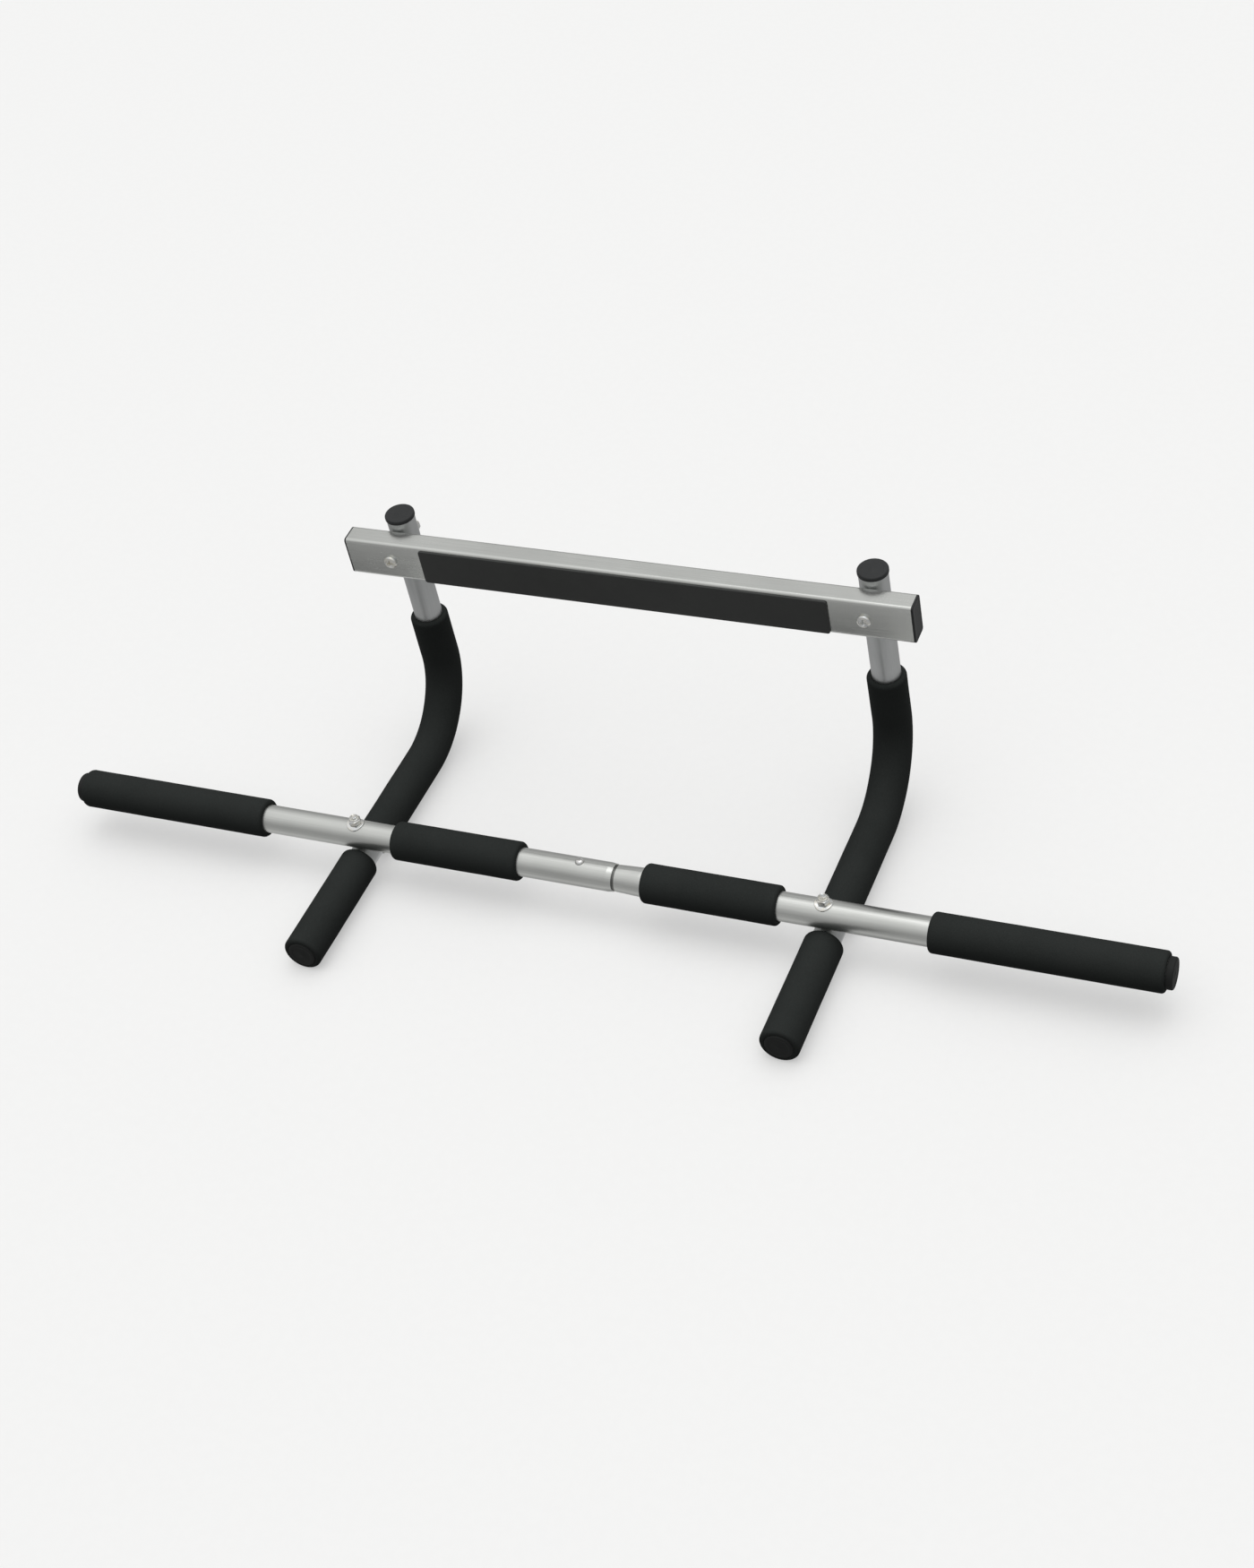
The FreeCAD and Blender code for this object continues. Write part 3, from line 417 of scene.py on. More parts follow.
# %% Zinc, spring steel and polished steel
def bright_metal(cold, warm, roughness, pit_scale, pit_depth):
    """A recipe for a small bright part with cloudy patches and fine pits."""
    def make(start):
        cloud = clouds(start, 260.0, detail=4.0)
        pits = clouds(start, pit_scale, detail=2.0)
        return {
            "Base Color": two_tones(steps_between(cloud, 0.35, 0.65), cold, warm),
            "Metallic": 1.0,
            "Roughness": roughness + 0.16 * cloud + 0.08 * pits,
            "Normal": relief(pits, pit_depth),
        }
    return make


ZINC = finish("bright_zinc", bright_metal(
    (0.74, 0.76, 0.77), (0.78, 0.76, 0.70), 0.14, 2600.0, 0.02 * MM))
SPRING_STEEL = finish("tempered_spring_steel", bright_metal(
    (0.16, 0.18, 0.24), (0.26, 0.23, 0.20), 0.28, 1800.0, 0.015 * MM))
BUTTON_STEEL = finish("polished_button_steel", bright_metal(
    (0.78, 0.79, 0.80), (0.82, 0.81, 0.79), 0.06, 3000.0, 0.004 * MM))

# %% [markdown]
# ## Foam, rubber and plastic
# The grips are closed cell foam rubber. Up close it is a field of tiny dimples where cells were
# cut open by the skin, and from further away it is a matte charcoal that drinks light. A Voronoi
# texture gives the cells and noise breaks up their evenness. The specular level is low, because a
# foam skin has almost no flat surface to shine.

# %% Closed cell foam
FOAM_DARK = (0.0152, 0.0173, 0.0165)
FOAM_LIGHT = (0.0222, 0.0248, 0.0238)


def foam(start):
    bubbles = start.node("TexVoronoi", {}, {"Vector": place_in_object(start), "Scale": 1500.0})
    crumbs = clouds(start, 2600.0, detail=3.0, rough=0.65)
    patches = clouds(start, 22.0)
    tone = 0.35 * bubbles + 0.3 * crumbs + 0.35 * patches
    return {
        "Base Color": two_tones(steps_between(tone, 0.3, 0.65), FOAM_DARK, FOAM_LIGHT),
        "Roughness": 0.80 + 0.14 * patches,
        "Specular IOR Level": 0.10,
        "Normal": relief(0.6 * bubbles + 0.4 * crumbs, 0.14 * MM, 0.7),
    }


FOAM = finish("closed_cell_foam", foam)

# %% [markdown]
# The wall pad is denser and smoother than the grips, so that it doesn't mark the wall. The caps
# are moulded from black plastic in a tool with a fine spark-eroded texture, and the plugs beside
# the foam from a softer and duller compound. The ring in a lock nut is natural nylon, milky and a
# little glossy.

# %% Rubber, plastic and nylon
def moulded(dark, light, roughness, grain_scale, grain_depth, level=0.5):
    """A recipe for a moulded part with a fine even grain and faint flow patches."""
    def make(start):
        grain = clouds(start, grain_scale, detail=2.5, rough=0.6)
        flow = clouds(start, 35.0)
        return {
            "Base Color": two_tones(steps_between(0.4 * grain + 0.6 * flow, 0.3, 0.7), dark, light),
            "Roughness": roughness + 0.10 * grain + 0.08 * (flow - 0.5),
            "Specular IOR Level": level,
            "Normal": relief(grain, grain_depth),
        }
    return make


PAD_RUBBER = finish("wall_pad_rubber", moulded(
    (0.024, 0.0252, 0.0242), (0.033, 0.0346, 0.033), 0.50, 1400.0, 0.05 * MM, level=0.4))
BLACK_PLASTIC = finish("moulded_black_plastic", moulded(
    (0.0195, 0.0205, 0.0212), (0.0255, 0.027, 0.028), 0.46, 2200.0, 0.03 * MM, level=0.25))
PLUG_RUBBER = finish("soft_plug_rubber", moulded(
    (0.012, 0.0128, 0.0125), (0.017, 0.018, 0.0175), 0.66, 1800.0, 0.04 * MM, level=0.2))
NYLON = finish("natural_nylon", moulded(
    (0.62, 0.62, 0.56), (0.74, 0.74, 0.69), 0.30, 1500.0, 0.01 * MM))

# %% [markdown]
# ## Dressing the steel that keeps its engineering shape
# The tubes and the cross bar already have their true walls, lips, neck and holes in the
# engineering model, so only their finish changes.

# %% Give the steel nodes their finishes
STEEL_NODES = {
    BAR_STEEL: ("main_bar_left", "main_bar_right"),
    ARM_STEEL: ("arm_left", "arm_right"),
    CROSS_STEEL: ("cross_bar",),
}
for steel, nodes in STEEL_NODES.items():
    for node in nodes:
        for place in frame["nodes"][node].material_slots:
            place.material = steel
    print(steel.name, "on", ", ".join(nodes))


def dress(piece, node, material, body="frame"):
    """The piece takes the place and the body of an engineering node, with a given material, and the node is
    hidden.
    """
    piece.data.materials.append(material)
    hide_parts(node)
    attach(piece, body)
    return piece

# %% [markdown]
# ## Foam grips
# A grip is a length of extruded foam tube, cut off and slid onto the steel, and its cut rims are
# rounded over. One outline of that ring is swept along the tube's middle line: straight for the
# bar and the handles, and round the bend for the sleeves. A real grip is never quite even, so its
# skin swells and dips by about a tenth of a millimetre.

# %% Sweep a foam ring along a line
FOAM_EDGE = 3.0 * MM
FOAM_BORE_EDGE = 0.5 * MM
FOAM_ROW = 3.5 * MM
FOAM_UNEVENNESS = 0.13 * MM
PATCHES_PER_METRE = 38


def foam_ring_outline(length):
    bore = TUBE_RADIUS + SEAT_GAP
    corners = [
        (0, bore, FOAM_BORE_EDGE),
        (0, FOAM_RADIUS - FOAM_UNEVENNESS, FOAM_EDGE),
        (length, FOAM_RADIUS - FOAM_UNEVENNESS, FOAM_EDGE),
        (length, bore, FOAM_BORE_EDGE),
    ]
    return divide(soften(corners, 7), FOAM_ROW)


def foam_tube(name, line, length, side_axis, count=72):
    """A foam ring along a line, which gives a point and a direction for each length along it."""
    rings = []
    for along, radius in foam_ring_outline(length):
        centre, direction = line(along)
        other_axis = direction.cross(side_axis)
        ring = []
        for step in range(count):
            turn = math.tau * step / count
            outward = math.cos(turn) * side_axis + math.sin(turn) * other_axis
            point = centre + radius * outward
            if radius > TUBE_RADIUS + FOAM_EDGE / 3:
                point += FOAM_UNEVENNESS * noise.noise(point * PATCHES_PER_METRE) * outward
            ring.append(point)
        rings.append(ring)
    return skin(name, rings, looped=True, crease=60)


def straight_line(start, direction):
    return lambda along: (start + along * direction, direction)


print("a grip's outline has", len(foam_ring_outline(0.1)), "points")

# %% Grips on the main bar and on the handles
def straight_foam(node, direction, side_axis):
    place = stand(node, direction, side_axis)
    line = straight_line(place.translation, direction)
    piece = foam_tube(node + "_foam", line, size_of(node, direction), side_axis)
    dress(piece, node, FOAM)


for side in SIDES:
    straight_foam("outer_grip_" + side, ALONG_BAR, LEVEL)
    straight_foam("inner_grip_" + side, ALONG_BAR, LEVEL)
    straight_foam("handle_grip_" + side, LEVEL, ALONG_BAR)
print("straight grips:", 3 * len(SIDES))

# %% [markdown]
# The sleeve of an arm goes round its bend. Its middle line is a straight run, an arc and a
# straight rise. The run starts where the node starts. The arc's radius is the one that the tube
# was bent to, and the rise ends where the node ends.

# %% Sleeves round the bends of the arms
BEND_RADIUS = 71.3 * MM


def sleeve_line(node):
    """The middle line of a sleeve, and its length."""
    low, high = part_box(node)
    start = Vector((middle(node, ALONG_BAR), low.y, low.z + FOAM_RADIUS))
    run = high.y - FOAM_RADIUS - BEND_RADIUS - low.y
    pivot = start + run * LEVEL + BEND_RADIUS * UP
    arc = BEND_RADIUS * BEND
    bend_end = pivot - BEND_RADIUS * (math.cos(BEND) * UP - math.sin(BEND) * LEVEL)
    rise = reach(node, RISER)[1] - bend_end.dot(RISER)

    def line(along):
        if along <= run:
            return start + along * LEVEL, LEVEL
        if along >= run + arc:
            return bend_end + (along - run - arc) * RISER, RISER
        turn = (along - run) / BEND_RADIUS
        spoke = math.sin(turn) * LEVEL - math.cos(turn) * UP
        return pivot + BEND_RADIUS * spoke, math.cos(turn) * LEVEL + math.sin(turn) * UP

    return line, run + arc + rise


for side in SIDES:
    node = "arm_sleeve_" + side
    line, length = sleeve_line(node)
    sleeve = foam_tube(node + "_foam", line, length, ALONG_BAR)
    dress(sleeve, node, FOAM)
    print(node, "is", round(length / MM, 1), "mm long")

# %% [markdown]
# ## Plugs and caps
# Each tube end is closed by a push-in plug. Its head has a rounded rim, a shallow dish, and a
# small pip where the plastic was let into the mould. Its hollow stem carries soft barbs that grip
# the bore. It is turned from one outline, because every part of it is round.

# %% Turn the tube plugs
PLUG_GAP = 0.1 * MM
PLUG_STEM_RADIUS = TUBE_RADIUS - TUBE_WALL - PLUG_GAP
PLUG_STEM = 18.0 * MM
PLUG_WALL = 1.8 * MM
PLUG_RIM = 1.6 * MM
DISH = 0.3 * MM
BARB = 0.45 * MM
BARBS = 4


def plug_outline(length, head_radius):
    """From the middle of the head, over its rim, down the barbs and up inside the hollow stem."""
    face = length - DISH
    corners = [
        (face + 0.2 * MM, 0, 0),
        (face + 0.2 * MM, 1.1 * MM, 0),
        (face, 1.5 * MM, 0),
        (face, 0.66 * head_radius, 0.3 * MM),
        (length, 0.74 * head_radius, 0.3 * MM),
        (length, head_radius, PLUG_RIM),
        (PLUG_STEM, head_radius, 0.25 * MM),
        (PLUG_STEM, PLUG_STEM_RADIUS - BARB, 0),
    ]
    pitch = PLUG_STEM / (BARBS + 0.5)
    for barb in range(BARBS):
        high = PLUG_STEM - (barb + 0.5) * pitch
        corners.append((high, PLUG_STEM_RADIUS - BARB, 0))
        corners.append((high - 0.1 * MM, PLUG_STEM_RADIUS, 0))
        corners.append((high - 0.9 * pitch, PLUG_STEM_RADIUS - BARB, 0))
    bore = PLUG_STEM_RADIUS - PLUG_WALL
    corners += [
        (0, PLUG_STEM_RADIUS - 2 * BARB, 0.3 * MM),
        (0, bore, 0.3 * MM),
        (PLUG_STEM - PLUG_WALL, bore, 0.6 * MM),
        (PLUG_STEM - PLUG_WALL, 0, 0),
    ]
    return soften(corners)


def tube_plug(node, outward, across, material):
    outline = plug_outline(size_of(node, outward), size_of(node, across) / 2)
    piece = turned(node + "_moulding", stand(node, outward, across), outline, count=72, crease=35)
    dress(piece, node, material)


for side, sign in SIDES.items():
    tube_plug("bar_end_plug_" + side, sign * ALONG_BAR, LEVEL, PLUG_RUBBER)
    tube_plug("handle_plug_" + side, -LEVEL, ALONG_BAR, PLUG_RUBBER)
    tube_plug("arm_top_cap_" + side, RISER, ALONG_BAR, BLACK_PLASTIC)
print("tube plugs:", 3 * len(SIDES))

# %% [markdown]
# The cross bar is a rectangular tube, so its caps and its pad are drawn as rounded rectangles
# stacked on each other. Each one is the same outline moved inwards, which keeps their corners
# concentric, as a mould or a die cutter leaves them.

# %% Stack rounded rectangles
def frame_ring(width, depth, corner, inset, height):
    """A rounded rectangle moved inwards by inset, at a height."""
    half_width = width / 2 - inset
    half_depth = depth / 2 - inset
    radius = max(corner - inset, 0.2 * MM)
    corners = [(half_width, half_depth, radius), (-half_width, half_depth, radius),
               (-half_width, -half_depth, radius), (half_width, -half_depth, radius)]
    return [Vector((point.x, point.y, height)) for point in soften(corners, 6)]


def stacked(width, depth, corner, levels):
    """Rings for (height, inset) levels, closed at both ends by a point in the middle."""
    rings = [frame_ring(width, depth, corner, inset, height) for height, inset in levels]
    return [circle(0, levels[0][0])] + rings + [circle(0, levels[-1][0])]


print("a rounded rectangle has", len(frame_ring(1, 1, 0.1, 0, 0)), "points")

# %% Caps in the ends of the cross bar
CROSS_CORNER = 3.0 * MM
CAP_FLANGE = 1.8 * MM
CAP_RIM = 0.9 * MM


def cross_bar_cap(node, outward):
    """A dished plate with a rounded rim, and a hollow stem with a lead-in behind it."""
    length = size_of(node, outward)
    plate_back = length - CAP_FLANGE
    stem = TUBE_WALL + PLUG_GAP
    rim = [(length - CAP_RIM * (1 - math.cos(turn)), CAP_RIM * (1 - math.sin(turn)))
           for turn in [math.radians(15 * step) for step in range(7)]]
    face = length - 0.2 * MM
    levels = [(face, 4.6 * MM), (face, 3.4 * MM), (length, 2.8 * MM)] + rim
    levels += [(plate_back + 0.2 * MM, 0), (plate_back, 0.2 * MM), (plate_back, stem)]
    levels += [(2 * MM, stem), (0.3 * MM, stem + 0.35 * MM), (0, stem + 0.6 * MM)]
    levels += [(0, stem + PLUG_WALL), (plate_back - PLUG_WALL, stem + PLUG_WALL)]
    depth, height = size_of(node, TO_WALL), size_of(node, RISER)
    rings = stacked(depth, height, CROSS_CORNER, levels)
    place = stand(node, outward, TO_WALL)
    piece = skin(node + "_moulding", put(place, rings), crease=35)
    dress(piece, node, BLACK_PLASTIC)


for side, sign in SIDES.items():
    cross_bar_cap("cross_bar_cap_" + side, sign * ALONG_BAR)
print("cross bar caps:", len(SIDES))

# %% [markdown]
# ## Wall pad
# The pad is a strip cut from rubber sheet and glued to the front of the cross bar. Its cut edges
# are slightly rolled and its face is a little crowned, because glue pulls the edges down first. It
# is declared as padded, since it is a soft piece, but it is firm and thin.

# %% Roll the edges of the wall pad
PAD_CORNER = 2.5 * MM
PAD_ROLL = 0.7 * MM
PAD_CROWN = 0.12 * MM

thickness = size_of("wall_pad", TO_WALL)
shoulder = thickness - PAD_CROWN
levels = [(0, 0.15 * MM), (0.15 * MM, 0)]
for step in range(7):
    turn = math.radians(15 * step)
    levels.append((shoulder - PAD_ROLL * (1 - math.sin(turn)), PAD_ROLL * (1 - math.cos(turn))))
levels += [(shoulder + 0.7 * PAD_CROWN, 2.5 * MM), (thickness, 6 * MM)]
rings = stacked(size_of("wall_pad", ALONG_BAR), size_of("wall_pad", RISER), PAD_CORNER, levels)
wall_pad = skin("wall_pad_strip", put(stand("wall_pad", TO_WALL, ALONG_BAR), rings), crease=50)
dress(wall_pad, "wall_pad", PAD_RUBBER)
print("wall pad, mm thick:", round(thickness / MM, 2))

# %% [markdown]
# ## Saddle washers
# A flat washer can't sit on a round tube, so these are pressed to its curve. Each is a disc with
# eased edges whose points are lifted onto the tube: the height of a point is where a circle of the
# tube's radius, plus the point's place in the sheet, stands over it.

# %% Press the saddle washers
SADDLE_RADIUS = 8.0 * MM
SADDLE_THICK = 1.0 * MM
SADDLE_BORE = 3.25 * MM
SADDLE_EDGE = 0.3 * MM


def saddle(node, away, along_tube, count=64):
    """A disc bent over a tube that runs along its X."""
    seat = TUBE_RADIUS + SEAT_GAP
    place = stand(node, away, along_tube)
    drop = math.sqrt(seat ** 2 - SADDLE_RADIUS ** 2)
    place.translation -= drop * away
    section = soften([
        (SADDLE_BORE, 0, SADDLE_EDGE),
        (SADDLE_RADIUS, 0, SADDLE_EDGE),
        (SADDLE_RADIUS, SADDLE_THICK, SADDLE_EDGE),
        (SADDLE_BORE, SADDLE_THICK, SADDLE_EDGE),
    ], 4)
    rings = []
    for out, lift in divide(section, 0.8 * MM):
        ring = circle(out, 0, count)
        rings.append([Vector((point.x, point.y, math.sqrt((seat + lift) ** 2 - point.y ** 2)))
                      for point in ring])
    dress(skin(node + "_pressing", put(place, rings), looped=True), node, ZINC)


for side in SIDES:
    saddle("bar_saddle_" + side, UP, ALONG_BAR)
    saddle("arm_saddle_" + side, -UP, LEVEL)
    saddle("cross_bar_saddle_" + side, -TO_WALL, RISER)
print("saddle washers:", 3 * len(SIDES))

# %% [markdown]
# ## Lock nuts
# A lock nut is a hexagon whose corners are turned off at a shallow angle, with a thin collar
# crimped over a nylon ring. The hexagon and the cone that cuts its corners are both drawn as a
# radius for each direction, and the smaller one wins. That leaves the curved chamfer lines a real
# nut has, and an even mesh that a boolean cut wouldn't give.

# %% Radius of a hexagon in each direction
def hexagon_radius(turn, flats):
    return flats / 2 / math.cos((turn % (math.pi / 3)) - math.pi / 6)


def shaped_ring(radius_at, height_at, count=96):
    """A ring whose radius depends on the direction, and whose height depends on the radius."""
    ring = []
    for step in range(count):
        turn = math.tau * step / count
        radius = radius_at(turn)
        ring.append(Vector((radius * math.cos(turn), radius * math.sin(turn), height_at(radius))))
    return ring


print("a 10 mm hexagon, middle to corner and to flat, mm:",
      round(hexagon_radius(0, 10), 2), round(hexagon_radius(math.pi / 6, 10), 2))

# %% Cut the lock nuts and mould their rings
NUT_FLATS = 10.0 * MM
NUT_HEXAGON = 4.6 * MM
NUT_BORE = 3.03 * MM
COLLAR_RADIUS = 4.45 * MM
RING_RADIUS = 3.8 * MM
RING_SEAT = 1.8 * MM
CHAMFER_SLOPE = math.tan(math.radians(30))


def nut_side(height):
    """The hexagon at a height, cut by a cone from below and another one from above."""
    washer_face = 0.47 * NUT_FLATS
    from_end = min(height, NUT_HEXAGON - height)
    cone = washer_face + from_end / CHAMFER_SLOPE
    return shaped_ring(lambda turn: min(hexagon_radius(turn, NUT_FLATS), cone), lambda _: height)


def lock_nut(node, away, across):
    """Bore, hexagon, collar and the seat of the nylon ring, as one loop of rings."""
    top = size_of(node, away)
    steps = [0.0, 0.1, 0.2, 0.3, 0.4, 0.5, 0.62]
    heights = [step * MM for step in steps]
    sides = heights + [NUT_HEXAGON - height for height in reversed(heights)]
    collar = soften([
        (NUT_HEXAGON, COLLAR_RADIUS + 0.2 * MM, 0),
        (NUT_HEXAGON + 0.2 * MM, COLLAR_RADIUS, 0.15 * MM),
        (top, COLLAR_RADIUS, 0.4 * MM),
        (top, RING_RADIUS - 0.15 * MM, 0.12 * MM),
        (top - 0.3 * MM, RING_RADIUS, 0),
        (top - RING_SEAT, RING_RADIUS, 0),
        (top - RING_SEAT, NUT_BORE, 0.1 * MM),
        (0.4 * MM, NUT_BORE, 0),
        (0, NUT_BORE + 0.4 * MM, 0),
    ], 4)
    rings = [nut_side(height) for height in sides]
    rings += [circle(radius, height, 96) for height, radius in collar]
    place = stand(node, away, across)
    dress(skin(node + "_turning", put(place, rings), looped=True, crease=25), node, ZINC)


def lock_ring(node, away, across):
    top = size_of(node, away)
    section = soften([(0, RING_RADIUS - 0.02 * MM, 0.15 * MM), (0, NUT_BORE, 0.15 * MM),
                      (top - 0.08 * MM, NUT_BORE - 0.1 * MM, 0.35 * MM),
                      (top - 0.08 * MM, RING_RADIUS - 0.2 * MM, 0.2 * MM)], 4)
    piece = turned(node + "_moulding", stand(node, away, across), section, looped=True)
    dress(piece, node, NYLON)


for side in SIDES:
    for name, away in (("bar_nut", UP), ("cross_bar_nut", -TO_WALL)):
        lock_nut(name + "_" + side, away, ALONG_BAR)
        lock_ring(name + "_ring_" + side, away, ALONG_BAR)
print("lock nuts:", 2 * len(SIDES))

# %% [markdown]
# ## Bolts and screws
# All four are 6 mm with a 1 mm pitch. The thread is real geometry: each ring of the shank is
# lifted where the helix passes, so the crest climbs one pitch in a turn, fades in below the head,
# and is cut back by the chamfer at the tip. The tip has the small cup that cold forming leaves.

# %% Draw a threaded shank
BOLT_RADIUS = 3.0 * MM
PITCH = 1.0 * MM
THREAD_DEPTH = 0.58 * MM
TIP_CHAMFER = 0.7 * MM
THREAD_LENGTH = 20 * MM
ROWS_PER_TURN = 10


def thread_ring(height, start, end, count=96):
    """One ring of the thread, for a shank whose thread goes from start to end."""
    fade = min(1, (height - start) / (2 * PITCH))
    tip = BOLT_RADIUS - max(0, height - end + TIP_CHAMFER)
    ring = []
    for step in range(count):
        climb = (height / PITCH - step / count) % 1
        ridge = min(1, 1.7 * (1 - abs(2 * climb - 1)))
        radius = min(BOLT_RADIUS - THREAD_DEPTH * fade * (1 - ridge), tip)
        turn = math.tau * step / count
        ring.append(Vector((radius * math.cos(turn), radius * math.sin(turn), height)))
    return ring


def shank(head_height, length):
    """Rings from under the head to the cup in the tip."""
    start = length - THREAD_LENGTH
    rows = round(THREAD_LENGTH / PITCH * ROWS_PER_TURN)
    under_head = [(head_height, BOLT_RADIUS + 0.2 * MM), (head_height + 0.2 * MM, BOLT_RADIUS)]
    rings = [circle(radius, height, 96) for height, radius in under_head]
    heights = [start + row / rows * THREAD_LENGTH for row in range(rows + 1)]
    rings += [thread_ring(height, start, length) for height in heights]
    cup = [(length, 1.9 * MM), (length - 0.1 * MM, 1.6 * MM), (length - 0.7 * MM, 1.0 * MM)]
    rings += [circle(radius, height, 96) for height, radius in cup]
    return rings + [circle(0, length - 0.8 * MM)]


print("a thread has", round(THREAD_LENGTH / PITCH * ROWS_PER_TURN), "rows")

# %% [markdown]
# The heads differ in what turns them. The main bar's bolts have a low round head with a hex
# socket, under the arms. The cross bar's screws have a pan head with a cross recess, which shows
# on the front. Both recesses are a radius for each direction, smaller at the floor than at the
# rim.

# %% Form the heads
RECESS_CHAMFER = 0.3 * MM
RECESS_LIP = 0.12 * MM
BUTTON_HEAD = 3.1 * MM
HEX_KEY = 4.0 * MM
HEX_DEPTH = 1.8 * MM
PAN_HEAD = 3.4 * MM
CROSS_LENGTH = 6.6 * MM
CROSS_WIDTH = 1.5 * MM
CROSS_DEPTH = 1.7 * MM


def cross_radius(turn, length, width):
    """A plus sign as a radius: the end of an arm, or its side, whichever comes first."""
    off_arm = (turn + math.pi / 4) % (math.pi / 2) - math.pi / 4
    return min(length / 2 / math.cos(off_arm), width / 2 / max(abs(math.sin(off_arm)), 1e-6))


def head(recess, depth, taper, crown, flat_radius, radius, height, rounding):
    """Rings from the floor of the recess over the dome to the underside of the head."""
    def dome(out):
        return crown * (out / flat_radius) ** 2

    def floor(turn):
        return taper * recess(turn)

    def lip(turn):
        return recess(turn) + RECESS_LIP

    rings = [circle(0, depth), shaped_ring(floor, lambda _: depth)]
    rings.append(shaped_ring(recess, lambda _: RECESS_CHAMFER))
    for share in (0, 0.3, 0.65, 1):
        between = lambda turn, share=share: lip(turn) + share * (flat_radius - lip(turn))
        rings.append(shaped_ring(between, dome))
    edge = soften([(crown, flat_radius, 0), (crown, radius, rounding), (height, radius, 0.25 * MM),
                   (height, BOLT_RADIUS + 0.3 * MM, 0)], 8)
    return rings + [circle(out, down, 96) for down, out in edge[1:]]


def button_head(radius, height):
    recess = lambda turn: hexagon_radius(turn, HEX_KEY)
    return head(recess, HEX_DEPTH, 0.98, 0.1 * MM, 3.1 * MM, radius, height, 2.0 * MM)


def pan_head(radius, height):
    recess = lambda turn: cross_radius(turn, CROSS_LENGTH, CROSS_WIDTH)
    return head(recess, CROSS_DEPTH, 0.5, 0.25 * MM, 3.9 * MM, radius, height, 2.1 * MM)


def bolt(node, from_head, across, form_head, head_height):
    head_rings = form_head(size_of(node, across) / 2, head_height)
    rings = head_rings + shank(head_height, size_of(node, from_head))
    place = stand(node, from_head, across)
    dress(skin(node + "_threaded", put(place, rings), crease=32), node, ZINC)


for side in SIDES:
    bolt("bar_bolt_" + side, UP, ALONG_BAR, button_head, BUTTON_HEAD)
    bolt("cross_bar_screw_" + side, -TO_WALL, ALONG_BAR, pan_head, PAN_HEAD)
print("bolts and screws:", 2 * len(SIDES))

# %% [markdown]
# ## Snap button
# The button locks the two halves of the main bar. It is a turned pin with a polished dome, and a
# collar under the tube that keeps it from flying out. It is the one piece that moves, so it rides
# on its own body.

# %% Turn the snap button
BUTTON_RADIUS = 4.0 * MM
BUTTON_DOME = 2.6 * MM
COLLAR_THICK = 1.0 * MM

length = size_of("snap_button", UP)
collar = size_of("snap_button", ALONG_BAR) / 2
outline = soften([
    (0, 0, 0),
    (0, collar, 0.2 * MM),
    (COLLAR_THICK, collar, 0.15 * MM),
    (COLLAR_THICK, BUTTON_RADIUS, 0),
    (length, BUTTON_RADIUS, BUTTON_DOME),
    (length, 0, 0),
], 8)
button = turned("snap_button_pin", stand("snap_button", UP, ALONG_BAR), outline)
dress(button, "snap_button", BUTTON_STEEL, body="snap_button")
print("snap button, mm tall:", round(length / MM, 2))

# %% [markdown]
# ## Leaf spring
# Under the button, inside the spigot, a strip of spring steel is folded like a pair of tweezers.
# The section of the strip is swept along its middle line.

# %% Fold the leaf spring
LEAF_THICK = 0.8 * MM
LEAF_WIDTH = 7.0 * MM
LEAF_EDGE = 0.25 * MM
LEAF_PAD = 10.0 * MM
LEAF_PLAY = 0.04 * MM
FOLD_RADIUS = 0.9 * MM


def leaf_line(length, height, fold_height):
    """The middle line of the strip: along the upper leaf, round the fold, and back below."""
    pad_end = LEAF_PAD - length / 2
    low, high = LEAF_THICK / 2, height - LEAF_PLAY - LEAF_THICK / 2
    fold = Vector((length / 2 - LEAF_THICK / 2, fold_height))
    half = (Vector((pad_end, high)) - fold).angle(Vector((pad_end, low)) - fold) / 2
    fold.x += FOLD_RADIUS / math.sin(half) - FOLD_RADIUS
    corners = [(-length / 2, high, 0), (pad_end, high, 3 * MM), (*fold, FOLD_RADIUS),
               (pad_end, low, 3 * MM), (-length / 2, low, 0)]
    return divide(soften(corners, 8), 1.5 * MM, closed=False)


def leaf_rings(line):
    """The strip's section at each point of its middle line, closed at both ends."""
    rings = []
    for number, point in enumerate(line):
        ahead = line[min(number + 1, len(line) - 1)] - line[max(number - 1, 0)]
        normal = Vector((-ahead.y, ahead.x)).normalized()
        ring = []
        for corner in frame_ring(LEAF_WIDTH, LEAF_THICK, LEAF_EDGE, 0, 0):
            spot = point + corner.y * normal
            ring.append(Vector((spot.x, corner.x, spot.y)))
        rings.append(ring)
    first, last = line[0], line[-1]
    return [[Vector((first.x, 0, first.y))]] + rings + [[Vector((last.x, 0, last.y))]]


height = size_of("snap_spring", UP)
fold_height = middle("main_bar_left", UP) - reach("snap_spring", UP)[0]
line = leaf_line(size_of("snap_spring", ALONG_BAR), height, fold_height)
place = stand("snap_spring", UP, ALONG_BAR)
leaf = skin("snap_spring_leaf", put(place, leaf_rings(line)), crease=35)
dress(leaf, "snap_spring", SPRING_STEEL)
press = next(joint for joint in frame["joints"] if joint["name"] == "snap_button_press")
travel = press["range_m"][1]
1 - travel / height
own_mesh(leaf)
print("the leaf spring flattens by, mm:", round(travel / MM, 2))

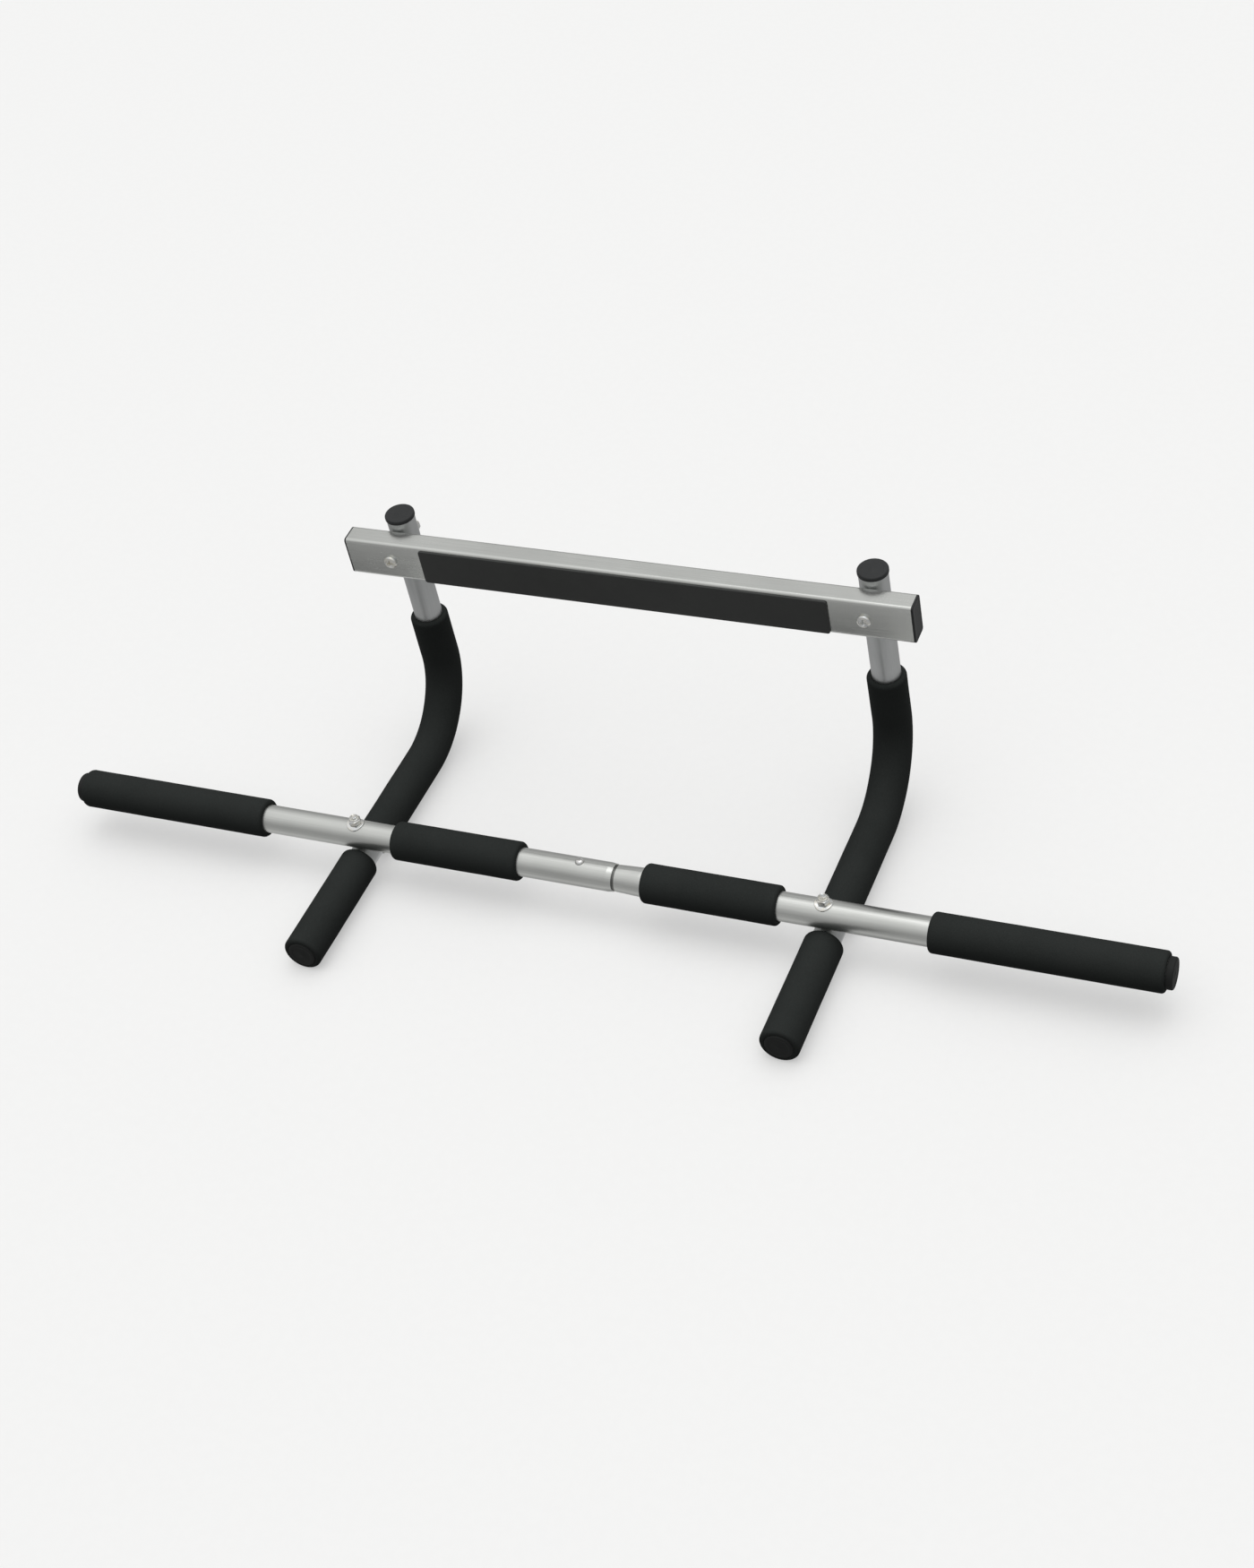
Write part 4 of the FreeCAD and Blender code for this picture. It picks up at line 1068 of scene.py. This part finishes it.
# %% [markdown]
# ## Studio
# The object lies on a pale sweep under one large soft light. Satin steel shows whatever is round
# it, so the light needs to be bright overhead and dimmer near the horizon and below. Otherwise the
# tubes turn into even grey strips. The world gives that gradient, and a broad sun gives the soft
# highlight along the top of the tubes. Foam shows no reflection, only how much light falls on it
# from each side, so for matte surfaces the gradient is steeper, which keeps the undersides of the
# grips dark.

# %% Light the studio
BACKDROP = 0.90
SEEN_IN_STEEL = [(0.0, 0.22), (0.06, 0.50), (0.11, 0.72), (0.17, 0.46), (0.5, 0.36), (0.70, 0.52),
                 (0.88, 0.78), (1.0, 0.92)]
FALLS_ON_FOAM = [(0.0, 0.01), (0.4, 0.02), (0.5, 0.05), (0.65, 0.25), (0.8, 0.85), (1.0, 2.0)]


def gradient(height, levels):
    """Brightness for each height, where 0 is straight down and 1 is straight up."""
    stops = [(at, (level, level, level, 1)) for at, level in levels]
    return height.node("ValToRGB", {"stops": stops}, {"Fac": height})


def light_studio():
    world = bpy.data.worlds.new("studio")
    world.use_nodes = True
    scene.world = world
    tree = world.node_tree
    start = Wire(tree)
    direction = start.node("TexCoord", {}, {}, out="Generated")
    height = 0.5 * start.node("SeparateXYZ", {}, {0: direction}, out="Z") + 0.5
    seen = start.node("LightPath", {}, {}, out="Is Camera Ray")
    mirrored = start.node("LightPath", {}, {}, out="Is Glossy Ray")
    falling = 1 - seen - mirrored
    strength = seen * BACKDROP + mirrored * gradient(height, SEEN_IN_STEEL)
    strength = strength + falling * gradient(height, FALLS_ON_FOAM)
    shader = tree.nodes["Background"]
    shader.inputs["Color"].default_value = (1.0, 1.0, 0.995, 1)
    tree.links.new(strength.socket, shader.inputs["Strength"])


SOFTBOX_SPREAD = math.radians(38)
SOFTBOX_STRENGTH = 0.40
FROM_LIGHT = Vector((-0.03, -0.17, -0.98))

light_studio()
softbox = bpy.data.objects.new("softbox", bpy.data.lights.new("softbox", "SUN"))
softbox.data.angle = SOFTBOX_SPREAD
softbox.data.energy = SOFTBOX_STRENGTH
softbox.rotation_mode = "QUATERNION"
softbox.rotation_quaternion = FROM_LIGHT.to_track_quat("-Z", "Y")
scene.collection.objects.link(softbox)
scene.view_settings.view_transform = "Standard"
print("softbox covers", round(math.degrees(softbox.data.angle)), "degrees of the sky")

# %% [markdown]
# The floor is a wide plain sheet just under the foam. It takes the soft shadows, but the steel
# doesn't mirror it, as if the sheet ended in the dark just outside the shot. This keeps the
# undersides of the tubes dark enough to read as round. A faint glow of its own brings the sheet up
# to the tone of the backdrop, and none of its light falls on the object.

# %% Lay the floor
FLOOR_HALF = 60.0
FLOOR_DROP = 0.2 * MM
FLOOR_GLOW = 0.41


def paper(start):
    fibres = clouds(start, 120.0)
    return {
        "Base Color": two_tones(fibres, (0.39, 0.39, 0.388), (0.41, 0.41, 0.408)),
        "Roughness": 0.9,
        "Specular IOR Level": 0.1,
        "Emission Color": (1.0, 1.0, 0.997, 1),
        "Emission Strength": FLOOR_GLOW,
    }


corners = [(-FLOOR_HALF, -FLOOR_HALF), (FLOOR_HALF, -FLOOR_HALF),
           (FLOOR_HALF, FLOOR_HALF), (-FLOOR_HALF, FLOOR_HALF)]
sheet = bpy.data.meshes.new("floor_sheet")
sheet.from_pydata([(x, y, -FLOOR_DROP) for x, y in corners], [], [(0, 1, 2, 3)])
floor = bpy.data.objects.new("floor_sheet", sheet)
floor.data.materials.append(finish("floor_paper", paper))
floor.visible_glossy = False
floor.visible_diffuse = False
scene.collection.objects.link(floor)
print("floor, m across:", 2 * FLOOR_HALF)

# %% [markdown]
# ## Camera
# The camera looks down on the object from the front and the right, a little rolled. Its place, its
# two view angles and its roll are the whole of it, with a moderately long lens.

# %% Place the camera
CAMERA_PLACE = Vector((0.8236, -1.37795, 1.52875))
TURN = math.radians(29.78)
TILT = math.radians(41.73)
ROLL = math.radians(-11.98)
LENS = 57.95

backward = Vector((math.sin(TURN) * math.cos(TILT),
                   -math.cos(TURN) * math.cos(TILT),
                   math.sin(TILT)))
level_right = Vector((math.cos(TURN), math.sin(TURN), 0))
level_up = backward.cross(level_right)
right = level_right * math.cos(ROLL) + level_up * math.sin(ROLL)
camera = bpy.data.objects.new("camera", bpy.data.cameras.new("camera"))
camera.data.lens = LENS
camera.data.sensor_width = 36
camera.matrix_world = Matrix((right, backward.cross(right), backward)).transposed().to_4x4()
camera.location = CAMERA_PLACE
scene.collection.objects.link(camera)
scene.camera = camera
print("camera looks down by", round(math.degrees(TILT), 1), "degrees")

# %% [markdown]
